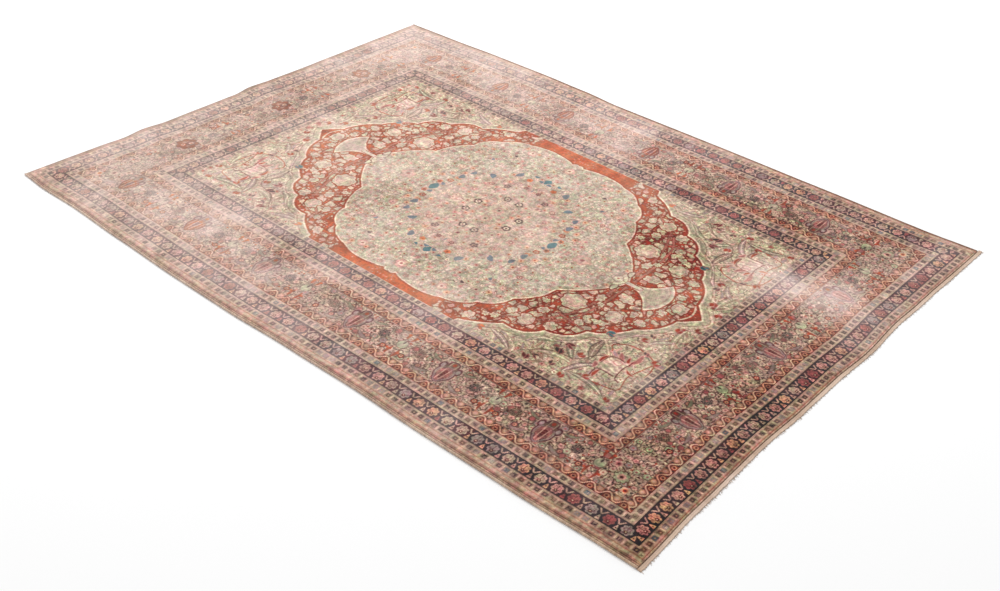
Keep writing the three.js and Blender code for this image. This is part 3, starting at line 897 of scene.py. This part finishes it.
# The double stems that run through the medallion's red ground, and the pale arc near its tip.
LATTICE = [[(398, 14), (400, 60), (398, 110), (386, 180), (360, 226)],
           [(386, 40), (384, 110), (370, 176), (344, 236)], [(344, 236), (300, 266), (252, 302)],
           [(352, 190), (392, 196), (424, 200)], [(300, 150), (324, 196), (350, 232)]]
TIP_ARC = [(557, 0), (554, 15), (545, 34)]
# The lines along the medallion's outlines: distance outwards, half width, dye and strength.
OUTER_LINES = [(9, 6, "celadon", 0.55), (16.5, 1.2, "camel", 0.6), (20, 1.6, "ivory", 0.5),
               (1.4, 2.0, "ivory", 1), (-3.4, 2.8, "brick", 1)]
INNER_LINES = [(-6, 3.5, "celadon", 0.4), (-0.6, 1.5, "ivory", 1), (3.2, 2.2, "brick", 1)]
FAN_X, FAN_APEX, FAN_REACH = 414, 374, 77


def outline_lines(distance, reach, lines):
    """Lines along one of the medallion's scalloped outlines."""
    patch = quarter.where(np.abs(distance) < reach)
    for middle, half, dye, strength in lines:
        patch.line(distance[patch.rows, patch.columns] - middle, half, dye, strength)
    patch.done()


def fan():
    """The pale fan at each end of the medallion, with its stalk and the round bud at its foot."""
    stamp = Stamp(quarter, FAN_X, 0, 110)
    a, b = stamp.along, np.abs(stamp.across)
    reach = np.hypot(a - 6, b)
    side = b - 7 - 0.0155 * a * a
    shape = np.maximum(np.maximum(side * 0.6, reach - FAN_REACH), -a)
    stamp.fill(shape - 4.4, "brick")
    stamp.fill(shape - 1.2, "ivory")
    stamp.fill(shape + 1.8, mixed("field", "sage", 0.15))
    net = np.minimum(np.abs((a + b) % 5.0 - 2.5), np.abs((a - b) % 5.0 - 2.5)) - 0.7
    stamp.fill(net, "camel", 0.7 * (shape < -5))
    stamp.line(reach - 68, 1.0, "rose", 0.6 * (shape < -3))
    stamp.done()
    stem(quarter, [(FAN_APEX, 0), (FAN_X + 10, 0)], 15, "brick")
    stem(quarter, [(FAN_APEX - 16, 0), (FAN_X + 12, 0)], 10, "field")
    leaf(quarter, FAN_APEX + 4, 14, 30, 15, 4, 120, "straw", "camel")
    leaf(quarter, FAN_APEX + 6, 33, 24, 11, 3, 100, "straw", "madder")
    blossom(quarter, FAN_APEX - 8, 0, 12, "field", "straw", "rose", "camel", 5)


def quarter_field():
    """Everything inside the borders, in the order in which it covers what is under it."""
    outside, inside = zone(OUTER_LOBES), zone(INNER_LOBES)
    corner_ground(outside)
    for row in LEAVES:
        leaf(quarter, *row, rib="ivory", strength=0.75)
    for row in VINES:
        stem(quarter, *row)
    corner_palmette(quarter, 532, 244)
    red_ground(np.maximum(outside, -inside))
    middle_ground(inside)
    for run in LATTICE:
        for width, dye in ((7.0, "rust"), (4.0, "pink"), (1.6, "brick")):
            stem(quarter, run, width, dye)
    stem(quarter, TIP_ARC, 4.0, "straw", 0.9)
    outline_lines(outside, 34, OUTER_LINES)
    outline_lines(inside, 14, INNER_LINES)
    fan()
    for x, y, radius, outer, inner, heart in FLOWERS:
        on_red = inside[int(y / SAMPLE), int(x / SAMPLE)] > 0
        blossom(quarter, x, y, radius, outer, inner, heart, "madder" if on_red else "tan", 5)
    for row in BLOOMS:
        pale_bloom(quarter, *row)
    for x, y, length, width, turn, dye in RING:
        leaf(quarter, x, y, length, width, 3, turn, dye, "beige")
    for x, y, length, width, turn, dye in TOUCHES:
        leaf(quarter, x, y, length * 0.8, width * 0.8, 3, turn, dye, "tan")
        leaf(quarter, x + 3, y + 3, length * 0.6, width * 0.4, -2, turn + 55, dye, "rose")


def place_field():
    """Turns the quarter over into all four, each a little uneven."""
    quarter_field()
    rows, columns = np.nonzero(INSET >= FIELD_INSET)
    x, y = whole.x[rows, columns], whole.y[rows, columns]
    at_x = np.abs(x - FIELD_MIDDLE[0] + noise(x, y, 90, 7) * 2.5)
    at_y = np.abs(y - FIELD_MIDDLE[1] + noise(x, y, 90, 8) * 2.5)
    row = np.minimum((at_y / SAMPLE).astype(int), QUARTER_ROWS - 1)
    column = np.minimum((at_x / SAMPLE).astype(int), QUARTER_COLUMNS - 1)
    whole.rgb[rows, columns] = quarter.rgb[row, column]


# ---- age, and painted pile sheen and shade
SHEEN_COLOUR = np.array((264, 243, 237), np.float32) / 255  # the painted pile sheen lifts every dye towards this
LEAST_SHEEN, MOST_SHEEN = -0.2, 0.62
MIDDLE_DYE = np.array((152, 119, 102), np.float32) / 255
DEPTH = 1.2  # new dyes stood further from their middle
BROWN_CAST = np.array((1.19, 0.96, 0.79), np.float32)  # on the left, the borders' colours other than reds are pulled towards a brownish grey of their own lightness
TO_ORANGE = np.array((0.06, 0.02, -0.13), np.float32)  # reds go orange where the painted pile sheen lifts them
TINT_CAST = np.array((0.6, -1, 0.2), np.float32)  # lots of wool differ between red and green
NORTH_SHEEN, EAST_SHEEN, MIDDLE_SHEEN, BORDER_SHEEN = 0.00005, -0.00026, 0.26, 0.09
# Patches of painted pile sheen and shade, with a few dark stains among the deep ones: middle x and y, radii
# and how far they lift the dyes with painted sheen, or keep them deep with painted shade if negative.
SHEEN_SHADE_AND_STAINS = [(10, 520, 60, 110, 0.14), (725, 250, 130, 80, 0.44), (608, 225, 80, 66, 0.3),
        (480, 420, 110, 100, -0.14), (-800, 60, 110, 200, -0.12), (-480, 370, 260, 100, -0.14),
        (-340, -480, 330, 110, 0.12), (0, -420, 200, 130, 0.12), (-20, -610, 220, 60, 0.16),
        (850, -400, 60, 260, -0.1), (400, -400, 130, 90, -0.14), (840, 520, 60, 130, 0.26),
        (860, 120, 40, 240, 0.1), (-740, 0, 160, 400, -0.17), (-180, 410, 90, 45, -0.16),
        (758, 100, 50, 330, 0.07), (186, 335, 50, 40, 0.22), (766, 324, 50, 50, 0.2),
        (-40, 568, 60, 40, 0.18), (522, -80, 40, 40, 0.15), (6, -472, 60, 30, -0.18),
        (-202, -424, 60, 40, -0.2), (110, -330, 160, 60, 0.13), (-840, -600, 60, 70, -0.3),
        (395, 188, 90, 66, -0.2), (-230, -40, 80, 200, -0.1), (620, -230, 80, 80, 0.1),
        (230, -370, 70, 60, 0.2)]


def blotches(x, y, table):
    """A sum of noises: strength, size in mm and seed."""
    return sum(strength * noise(x, y, size, seed) for strength, size, seed in table)


def sheen_at(x, y):
    """How far the painted pile sheen lifts the dyes at each place."""
    past_field = np.maximum(np.abs(x) - HALF_LENGTH, np.abs(y) - HALF_WIDTH) + FIELD_INSET
    inside_edge = np.clip((FIELD_INSET - 16 - past_field) / 16, -1.5, 1)
    # Painted pile sheen: a base amount, less towards the right, a touch more towards the far side, more on
    # the borders towards the left and less at their outer edge, plus patches and blotches of painted sheen
    # and shade.
    sheen_share = MIDDLE_SHEEN + EAST_SHEEN * x + NORTH_SHEEN * y
    sheen_share = sheen_share + BORDER_SHEEN * inside_edge * np.clip(past_field / 60, 0, 1) * np.clip((350 - x) / 500, 0, 1)
    sheen_share = sheen_share + hills(x, y, SHEEN_SHADE_AND_STAINS) + blotches(x, y, ((0.06, 160, 21), (0.08, 60, 22), (0.07, 24, 23)))
    return np.clip(sheen_share, LEAST_SHEEN, MOST_SHEEN)[..., None]


# Lays the painted pile sheen over colours, lifting them towards the sheen colour.
def with_sheen(rgb, x, y):
    return rgb + sheen_at(x, y) * (SHEEN_COLOUR - rgb)


def age_and_paint_sheen():
    """Paints the pile's sheen over the dyes, lifting them towards the far left and keeping them deep at the
    near right, with patches of painted shade, and varies every knot.
    """
    x, y, rgb = whole.x, whole.y, whole.rgb
    rgb[:] = MIDDLE_DYE + DEPTH * (rgb - MIDDLE_DYE)
    redness = np.clip((rgb[..., :1] - rgb[..., 1:2]) * 5 - 1, 0, 1)
    browned = (np.clip(0.15 - x / 1400, 0, 0.6) * (INSET < FIELD_INSET))[..., None] * (1 - redness)
    brownish_grey = (0.75 * rgb.mean(-1, keepdims=True) + 0.25 * MIDDLE_DYE.mean()) * BROWN_CAST
    rgb += browned * (brownish_grey - rgb)
    rgb *= 1 + 0.04 * (noise(x, 0, 14, 31) + noise(x, y, 9, 32))[..., None]
    rgb *= 1 + blotches(x, y, ((0.12, 3.4, 36), (0.16, 6.0, 37), (0.1, 11.0, 39)))[..., None]
    rgb *= 1 + blotches(x, y, ((0.06, 5.0, 38), (0.04, 12.0, 40)))[..., None] * TINT_CAST
    rgb *= 1 + 0.06 * np.random.default_rng(33).normal(0, 1, (*x.shape, 1)).astype(np.float32)
    # painted pile sheen and shade, with the lifted reds going orange
    rgb[:] = with_sheen(rgb, x, y) + redness * sheen_at(x, y) * TO_ORANGE
    np.clip(rgb, 0, 1, out=rgb)


borders()
place_field()
before_age_and_sheen = whole.rgb.copy()
age_and_paint_sheen()


# ---- meshes
CORNERS = ((0, 0), (1, 0), (1, 1), (0, 1))
CHART_MARGIN = 0.003


def make_piece(name, points, faces, colours, places, material, slot, *nodes):
    """A mesh of four-sided faces with a yarn colour and a place on its map at each face corner."""
    mesh = bpy.data.meshes.new(name)
    mesh.vertices.add(len(points))
    mesh.vertices.foreach_set("co", (points * MM).astype(np.float32).ravel())
    mesh.loops.add(faces.size)
    mesh.loops.foreach_set("vertex_index", faces.astype(np.int32).ravel())
    mesh.polygons.add(len(faces))
    mesh.polygons.foreach_set("loop_start", np.arange(0, faces.size, 4, dtype=np.int32))
    mesh.polygons.foreach_set("use_smooth", np.ones(len(faces), bool))
    mesh.update(calc_edges=True)
    yarn = mesh.color_attributes.new("yarn", "BYTE_COLOR", "CORNER")
    opaque = np.ones((faces.size, 4), np.float32)
    opaque[:, :3] = np.clip(colours, 0, 1).reshape(-1, 3)
    yarn.data.foreach_set("color_srgb", opaque.ravel())
    chart = mesh.uv_layers.new(name="OFBake")
    chart.uv.foreach_set("vector", places.astype(np.float32).ravel())
    mesh.materials.append(material)
    piece = link(name, mesh)
    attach(piece, "root")
    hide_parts(*nodes)
    return piece


def grid_faces(rows, columns):
    """The faces of a grid of points, each going round left to right on its lower side first."""
    first = (np.arange(rows - 1)[:, None] * columns + np.arange(columns - 1)).ravel()
    return np.stack([first, first + 1, first + columns + 1, first + columns], 1)


def corner_samples(rgb):
    """The four samples of a board in each face, in the order of the face's corners."""
    return np.stack([rgb[up::2, right::2] for right, up in CORNERS], 2).reshape(-1, 3)


def folded_chart(rows, columns, folds, high=1.0):
    """Places on the map, up to high, for a grid of faces whose long side is folded into stacked rows."""
    per_fold, room = math.ceil(columns / folds), 1 - 2 * CHART_MARGIN
    i, j = np.meshgrid(np.arange(columns), np.arange(rows))
    corners = []
    for right, up in CORNERS:
        u = CHART_MARGIN + (i % per_fold + right) / per_fold * room
        v = (i // per_fold + CHART_MARGIN + (j + up) / rows * room) / folds
        corners.append(np.stack([u, v * high], -1))
    return np.stack(corners, 2).reshape(-1, 2)


LINES_X = np.linspace(-HALF_LENGTH, HALF_LENGTH, QUADS_X + 1)
LINES_Y = np.linspace(-HALF_WIDTH, HALF_WIDTH, QUADS_Y + 1)
# Dark wool wears lower than pale wool, the pile is worn in patches, and single knots stand up or down.
DARK_SINKS, MIDDLE_LIGHT, PATCHINESS, KNOT_RISE = 0.5, 0.55, 0.14, 0.06
SIDE_ROWS, END_COLUMNS = round(260 / WIDTH * QUADS_Y), round(255 / LENGTH * QUADS_X)
FAR_ROW, RIGHT_COLUMN, MIDDLE_ROW = QUADS_Y - SIDE_ROWS, QUADS_X - END_COLUMNS, QUADS_Y // 2
# Panels of pile: name, first and last row and column of the mesh, folds of its map.
PANELS = [
    ("pile_near_border", 0, SIDE_ROWS, 0, QUADS_X, 3),
    ("pile_far_border", FAR_ROW, QUADS_Y, 0, QUADS_X, 3),
    ("pile_left_border", SIDE_ROWS, FAR_ROW, 0, END_COLUMNS, 1),
    ("pile_right_border", SIDE_ROWS, FAR_ROW, RIGHT_COLUMN, QUADS_X, 1),
    ("pile_field_near", SIDE_ROWS, MIDDLE_ROW, END_COLUMNS, RIGHT_COLUMN, 2),
    ("pile_field_far", MIDDLE_ROW, FAR_ROW, END_COLUMNS, RIGHT_COLUMN, 2)]


def pile_points(rows, columns):
    """Points of the pile's top at these lines of the mesh."""
    x, y = np.meshgrid(LINES_X[columns], LINES_Y[rows])
    left, low = np.clip(2 * columns - 1, 0, None), np.clip(2 * rows - 1, 0, None)
    relief = DARK_SINKS * (before_age_and_sheen.mean(2)[np.ix_(low, left)] - MIDDLE_LIGHT)
    relief = relief + PATCHINESS * noise(x, y, 26, 51) + KNOT_RISE * noise(x, y, 4, 52)
    return np.stack([*on_floor(x, y), pile_top(x, y) + rim_share(x, y) * relief], -1).reshape(-1, 3)


def make_pile(material):
    made = []
    for name, row0, row1, column0, column1, folds in PANELS:
        points = pile_points(np.arange(row0, row1 + 1), np.arange(column0, column1 + 1))
        colours = corner_samples(whole.rgb[2 * row0:2 * row1, 2 * column0:2 * column1])
        faces = grid_faces(row1 - row0 + 1, column1 - column0 + 1)
        chart = folded_chart(row1 - row0, column1 - column0, folds)
        made.append(make_piece(name, points, faces, colours, chart, material, "pile", "knotted_cloth"))
    return made


BACK_QUAD, BACK_HEIGHT = 6.0, 0.1
BACK_CHART = 0.97  # the back's map ends this far up, and its walls' map is above


def make_back(material):
    """The woven back, which shows the same pattern without its ageing and painted sheen, and the cut sides up
    to the pile.
    """
    across, along = round(WIDTH / BACK_QUAD), round(LENGTH / BACK_QUAD)
    x, y = np.meshgrid(np.linspace(-HALF_LENGTH, HALF_LENGTH, along + 1),
                       np.linspace(-HALF_WIDTH, HALF_WIDTH, across + 1))
    points = np.stack([*on_floor(x, y), np.full_like(x, BACK_HEIGHT)], -1).reshape(-1, 3)
    picks_y, picks_x = (((np.arange(2 * count) + 0.5) / (2 * count) * len(lines)).astype(int)
                        for count, lines in ((across, whole.ys), (along, whole.xs)))
    colours = corner_samples(before_age_and_sheen[np.ix_(picks_y, picks_x)])
    faces = grid_faces(across + 1, along + 1)
    chart = folded_chart(across, along, 1, BACK_CHART)
    turned = [0, 3, 2, 1]  # the back faces down
    faces, colours, chart = (part.reshape(len(faces), 4, -1)[:, turned] for part in (faces, colours, chart))
    number = np.arange(len(points)).reshape(x.shape)
    rim = np.concatenate([number[0, :-1], number[:-1, -1], number[-1, :0:-1], number[:0:-1, 0]])
    upper = points[rim] + (0, 0, RIM_HEIGHT - BACK_HEIGHT)
    top = len(points) + np.arange(len(rim))
    walls = np.stack([rim, np.roll(rim, -1), np.roll(top, -1), top], 1)
    share = np.arange(len(rim)) / len(rim)
    wall_chart = np.stack([np.stack([share + right / len(rim), np.full_like(share, 0.98 + 0.02 * up)], -1)
                           for right, up in CORNERS], 1)
    wall_colours = np.broadcast_to(DYES["tan"], (len(walls), 4, 3))
    return make_piece("woven_back", np.concatenate([points, upper]), np.concatenate([faces[..., 0], walls]),
                      np.concatenate([colours, wall_colours]), np.concatenate([chart, wall_chart]),
                      material, "pile", "knotted_cloth")


TUBE_CORNERS = ((0, 0), (0, 1), (1, 1), (1, 0))  # onward and around, at each corner of a tube's face
TUBE_FOLDS, TUBE_MARGIN = 12, 0.02
CAP_CHART = 0.97  # how far across its chart a tube's side goes, with its end caps beyond


def tube(line, rings, colours):
    """A capped tube's points, faces, corner colours and chart, from each ring's (across, up) points."""
    count, sides = rings.shape[:2]
    step = np.gradient(line[:, :2], axis=0)
    side_way = np.stack([step[:, 1], -step[:, 0]], 1) / np.linalg.norm(step, axis=1, keepdims=True)
    points = np.empty((count, sides, 3))
    points[..., :2] = line[:, None, :2] + side_way[:, None] * rings[..., :1]
    points[..., 2] = line[:, None, 2] + rings[..., 1]
    i, j = (part.ravel() for part in np.meshgrid(np.arange(count - 1), np.arange(sides), indexing="ij"))
    per_fold = math.ceil((count - 1) / TUBE_FOLDS)
    faces, shades, chart = [], [], []
    for onward, around in TUBE_CORNERS:
        faces.append((i + onward) * sides + (j + around) % sides)
        shades.append(colours[i + onward, (j + around) % sides])
        u = CAP_CHART * (i % per_fold + onward) / per_fold
        v = (i // per_fold + TUBE_MARGIN + (1 - 2 * TUBE_MARGIN) * (j + around) / sides) / TUBE_FOLDS
        chart.append(np.stack([u, v], -1))
    faces, shades, chart = ([np.stack(part, 1)] for part in (faces, shades, chart))
    cap = np.array([(k, k + 1, sides - 2 - k, sides - 1 - k) for k in range(sides // 2 - 1)])
    for end, ring, corners in ((0, 0, cap[:, ::-1]), (1, count - 1, cap)):
        faces.append(ring * sides + corners)
        shades.append(colours[ring, corners])
        row = (end * len(cap) + np.arange(len(cap)))[:, None] + np.array((0.1, 0.1, 0.9, 0.9))
        across = CAP_CHART + (1 - CAP_CHART) * np.array((0.2, 0.9, 0.9, 0.2)) + np.zeros(row.shape)
        chart.append(np.stack([across, row / (2 * len(cap))], -1))
    return points.reshape(-1, 3), *(np.concatenate(part) for part in (faces, shades, chart))


WRAP_PITCH, WRAP_STEPS, SELVEDGE_SIDES = 3.0, 2, 8


def make_selvedge(name, side, dye, other, material, slot):
    """One side's overcast edge: a cord wrapped round and round, a little uneven."""
    count = round(LENGTH / WRAP_PITCH * WRAP_STEPS)
    x = np.linspace(-HALF_LENGTH, HALF_LENGTH, count)
    real_x, real_y = on_floor(x, side * HALF_WIDTH)
    half = SELVEDGE_WIDTH / 2
    line = np.stack([real_x, real_y + side * (GAP + half), np.full(count, SELVEDGE_HEIGHT / 2)], 1)
    angle = (np.arange(SELVEDGE_SIDES) + 0.5) / SELVEDGE_SIDES * 2 * math.pi
    wrap = np.cos(2 * math.pi * np.arange(count)[:, None] / WRAP_STEPS + 0.6 * angle)
    lumps = 0.05 * noise(x, side * 40, 9, 61)[:, None] + 0.04 * noise(x, 0, 3.5, 62)[:, None]
    radius = half * (0.96 + 0.04 * wrap + lumps)
    height = np.maximum(radius * np.sin(angle), 0.05 - SELVEDGE_HEIGHT / 2)
    bunch = np.clip(0.5 + 0.5 * noise(x, side * 200, 55, 63) + 0.25 * noise(x, 0, 7, 64), 0, 1)[:, None]
    # the cord's yarn gets the painted pile sheen of the cloth's edge
    yarn = with_sheen(DYES[dye] + bunch * (DYES[other] - DYES[dye]), x, side * HALF_WIDTH)
    # the wrap term paints light on each wrap's bulge and shade in the groove between wraps; the noise is the
    # yarn's own tone
    shade = 1 + 0.04 * wrap + 0.08 * noise(x, 90, 2.5, 65)[:, None]
    made = tube(line, np.stack([radius * np.cos(angle), height], -1), yarn[:, None] * shade[..., None])
    return make_piece(name, *made, material, slot, name)


def web_line(count):
    """Stations along the cloth's right end and past both corners: their y in the design, and their place."""
    end = HALF_WIDTH + GAP + SELVEDGE_WIDTH
    y = np.linspace(-end, end + CORNER_REACH, count)
    on_cloth = np.clip(y, -HALF_WIDTH, HALF_WIDTH)
    real_x, real_y = on_floor(HALF_LENGTH, on_cloth)
    return y, real_x + GAP, real_y + (y - on_cloth)


WEB_STEPS = 700
# The web's section: share of its width, share of its thickness, and tone of its yarn, which paints light on
# the ribs' tops and shade on the underside, the edges and the groove between the ribs.
WEB_SECTION = [(0.0, 0.1, 0.92), (1.0, 0.1, 0.88), (1.02, 0.5, 0.86), (0.96, 0.85, 1.0),
               (0.72, 1.0, 1.04), (0.5, 0.93, 0.93), (0.28, 1.02, 1.03), (0.0, 0.9, 0.9)]


def make_web(material):
    """The narrow flat-woven end web: ribs along the edge, worn ragged on its outer side."""
    y, inner_x, real_y = web_line(WEB_STEPS)
    out, up, tone = np.array(WEB_SECTION).T
    width = WEB_WIDTH + (0.7 * noise(y, 0, 17, 71) + 0.5 * noise(y, 0, 5, 72))
    rise = 1 + 0.15 * noise(y, 50, 40, 73)
    line = np.stack([inner_x, real_y, np.zeros(WEB_STEPS)], 1)
    rings = np.stack([width[:, None] * out, WEB_THICKNESS * up * rise[:, None]], -1)
    # the web's cream gets the painted pile sheen that the cloth has 200 mm right of its middle
    cream = with_sheen(mixed("ivory", "beige", 0.1), 200, y)[:, None]
    soil = np.clip(0.35 + 0.5 * noise(y, 0, 60, 74) + 0.3 * noise(y, 0, 6, 75), 0, 1)[:, None, None]
    # tone is painted light and shade across the web's section; soil is the web's own dirt
    colours = (cream + 0.3 * soil * (DYES["camel"] - cream)) * tone[:, None]
    return make_piece("web_strip", *tube(line, rings, colours), material, "warp", "end_web")


STRANDS, STRAND_RINGS = 560, 4
STRAND_CELLS = (28, 20)  # the strands' places on their map, across and up
STRAND_OUT, STRAND_UP = np.array((1, 0, -1, 0)), np.array((0, 0.8, 0, -0.6))  # a strand's four corners


def make_fringe(material):
    """Short worn warp ends that stick out of the web, as one joined mesh."""
    dice = np.random.default_rng(81)
    y, inner_x, real_y = web_line(STRANDS)
    root_x, root_y = inner_x + WEB_WIDTH - 2.0, real_y + dice.uniform(-0.8, 0.8, STRANDS)
    worn = np.clip(dice.beta(1.6, 2.2, STRANDS) + 0.25 * noise(y, 0, 45, 82), 0.1, 0.98)
    length, lean = 2.0 + FRINGE_REACH * worn, dice.normal(0, 0.32, STRANDS)
    share = np.linspace(0, 1, STRAND_RINGS)
    thick, lift = 0.62 * (1 - 0.55 * share)[:, None], (1.1 - 0.6 * share)[:, None]
    aside = root_y[:, None] + (lean * length)[:, None] * share ** 1.6
    points = np.empty((STRANDS, STRAND_RINGS, 4, 3))
    points[..., 0] = (root_x[:, None] + length[:, None] * share)[..., None]
    points[..., 1] = aside[..., None] + thick * STRAND_OUT
    points[..., 2] = np.maximum(lift + thick * STRAND_UP, 0.1)
    i, j = (part.ravel() for part in np.meshgrid(np.arange(STRAND_RINGS - 1), np.arange(4), indexing="ij"))
    one = np.stack([(i + onward) * 4 + (j + around) % 4 for onward, around in CORNERS], -1)
    one = np.concatenate([one, [[0, 3, 2, 1], [12, 15, 14, 13]]])[:, ::-1]
    faces = (one + 4 * STRAND_RINGS * np.arange(STRANDS)[:, None, None]).reshape(-1, 4)
    cell = np.arange(STRANDS)
    place = np.stack([cell % STRAND_CELLS[0], cell // STRAND_CELLS[0]], 1) / STRAND_CELLS
    square = (np.array(CORNERS) * 0.8 + 0.1) / STRAND_CELLS
    chart = place[:, None, None] + square + np.zeros((STRANDS, len(one), 4, 2))
    shade = dice.uniform(0.82, 1.08, (STRANDS, 1, 1, 1)) * mixed("ivory", "beige", 0.2)
    colours = np.broadcast_to(shade, (STRANDS, len(one), 4, 3))
    points = points.reshape(-1, 3)
    return make_piece("fringe_strands", points, faces, colours, chart, material, "warp", "end_web")


# ---- materials
class Nodes:
    """A short way to write a material's nodes."""

    def __init__(self, name):
        self.material = bpy.data.materials.new(name)
        self.material.use_nodes = True
        self.tree = self.material.node_tree
        self.shader = self.tree.nodes["Principled BSDF"].inputs

    def add(self, kind, values=(), **settings):
        node = self.tree.nodes.new("ShaderNode" + kind)
        for key, value in settings.items():
            setattr(node, key, value)
        for socket, value in dict(values).items():
            self.feed(node.inputs[socket], value)
        return node

    def feed(self, socket, value):
        if isinstance(value, bpy.types.NodeSocket):
            self.tree.links.new(value, socket)
        else:
            socket.default_value = value

    def math(self, kind, a, b):
        return self.add("Math", {0: a, 1: b}, operation=kind).outputs[0]

    def product(self, first, *others):
        for other in others:
            first = self.math("MULTIPLY", first, other)
        return first

    def weighted(self, first, *others):
        """A value plus others, each given with its weight."""
        for other, weight in others:
            first = self.math("ADD", first, self.math("MULTIPLY", other, weight))
        return first

    def scaled(self, x=1, y=1, z=1):
        """The place on the object, in metres, with each axis scaled."""
        place = self.add("TexCoord").outputs["Object"]
        return self.add("Mapping", {"Vector": place, "Scale": (x, y, z)}).outputs[0]

    def noise(self, scale, detail=2.0, place=None):
        values = {"Scale": scale, "Detail": detail, "Vector": place or self.scaled()}
        return self.add("TexNoise", values).outputs["Fac"]

    def waves(self, direction, scale, distortion, detail=1.0, detail_scale=1.0, place=None):
        values = {"Scale": scale, "Distortion": distortion, "Detail": detail, "Detail Scale": detail_scale}
        values["Vector"] = place or self.scaled()
        return self.add("TexWave", values, bands_direction=direction).outputs["Fac"]

    def spread(self, value, low, high):
        """Brings a texture's usual range to run from low to high."""
        values = {"Value": value, "To Min": low, "To Max": high, "From Min": 0.25, "From Max": 0.75}
        return self.add("MapRange", values).outputs[0]

    def finish(self, tone, height, depth, strength, rough, sheen):
        """The mesh's yarn colour, made lighter and darker by tone, which is about 1, with bump and gloss."""
        yarn = self.add("Attribute", attribute_name="yarn").outputs["Color"]
        both = self.add("CombineColor", {"Red": tone, "Green": tone, "Blue": tone}).outputs[0]
        mix = self.add("Mix", {0: 1.0, 6: yarn, 7: both}, data_type="RGBA", blend_type="MULTIPLY")
        self.feed(self.shader["Base Color"], mix.outputs[2])
        bump = self.add("Bump", {"Height": height, "Distance": depth, "Strength": strength})
        self.feed(self.shader["Normal"], bump.outputs[0])
        self.feed(self.shader["Roughness"], rough)
        for socket, value in (("Sheen Weight", sheen), ("Sheen Roughness", 0.5), ("Specular IOR Level", 0.2)):
            self.shader[socket].default_value = value
        return self.material


KNOTS_ACROSS, KNOTS_ALONG = 620.0, 540.0  # knots in a metre along the warp and along the weft
ROW_BANDS = 30.984283  # the wave texture's scale for rows of knots
WHITE, GREY, DARK_GREY = (1, 1, 1, 1), (0.8, 0.8, 0.8, 1), (0.3, 0.3, 0.3, 1)


def pile_material():
    """Short worn wool: tufts a little over a millimetre across, row lines, and soft mottling."""
    n = Nodes("worn_pile")
    knots = n.scaled(KNOTS_ACROSS, KNOTS_ALONG)
    tufts = n.add("TexVoronoi", {"Vector": knots, "Scale": 1.0, "Randomness": 0.7}, voronoi_dimensions="2D")
    lone = n.add("SeparateColor", {"Color": tufts.outputs["Color"]}).outputs[0]
    rows = n.waves("X", ROW_BANDS, 1.2, detail_scale=4.0)
    mottle, haze = n.noise(75.0, 3.0), n.noise(900.0)
    tone = n.product(n.spread(lone, 0.93, 1.05), n.spread(mottle, 0.93, 1.06),
                     n.spread(haze, 0.95, 1.05), n.spread(rows, 0.97, 1.02))
    fluff = n.weighted(n.math("MULTIPLY", haze, 0.6), (rows, 0.25))
    height = n.math("SUBTRACT", fluff, tufts.outputs["Distance"])
    return n.finish(tone, height, 0.0006, 0.5, n.spread(mottle, 0.84, 0.96), 0.12)


def back_material():
    """The flat knotted back: even rows of small oblong bumps."""
    n = Nodes("knotted_back")
    sizes = {"Scale": 1.0, "Mortar Size": 0.0002, "Brick Width": 0.002, "Row Height": 0.0012}
    shades = {"Color1": WHITE, "Color2": GREY, "Mortar": DARK_GREY}
    bumps = n.add("TexBrick", {"Vector": n.scaled(), **sizes, **shades}).outputs["Color"]
    height = n.add("RGBToBW", {"Color": bumps}).outputs[0]
    mottle = n.noise(60.0, 3.0)
    tone = n.product(n.spread(mottle, 0.9, 1.08), n.spread(height, 0.9, 1.04))
    return n.finish(tone, height, 0.0004, 0.6, n.spread(mottle, 0.85, 0.95), 0.08)


def cord_material(name, sheen):
    """Wrapped or twisted yarn with fibres and soil."""
    n = Nodes(name)
    fibres = n.noise(1.0, 3.0, n.scaled(400, 2600, 1400))
    wraps = n.waves("X", 170.0, 1.6, place=n.scaled(1, 0.4, 0))
    soil = n.noise(55.0, 3.0)
    tone = n.product(n.spread(fibres, 0.9, 1.08), n.spread(soil, 0.9, 1.06), n.spread(wraps, 0.84, 1.05))
    return n.finish(tone, n.weighted(wraps, (fibres, 0.5)), 0.0005, 0.7, n.spread(soil, 0.82, 0.95), sheen)


def web_material():
    """Flat-woven cotton: close ribs over the warps."""
    n = Nodes("cotton_web")
    ribs, picks = n.waves("Y", 190.0, 1.5), n.waves("X", 260.0, 1.0, detail=2.0)
    fibres = n.noise(1400.0)
    tone = n.product(n.spread(ribs, 0.9, 1.04), n.spread(fibres, 0.92, 1.05))
    height = n.weighted(ribs, (picks, 0.5), (fibres, 0.6))
    return n.finish(tone, height, 0.0004, 0.6, n.spread(fibres, 0.82, 0.94), 0.08)


# ---- the rug
panels = make_pile(pile_material())
back = make_back(back_material())
pale_cord, drab_cord = cord_material("wool_overcasting", 0.12), cord_material("worn_overcasting", 0.08)
near = make_selvedge("selvedge_near", -1, "ivory", "beige", pale_cord, "selvedge")
far = make_selvedge("selvedge_far", 1, "tan", "camel", drab_cord, "selvedge_worn")
web = make_web(web_material())
strands = make_fringe(cord_material("warp_ends", 0.1))
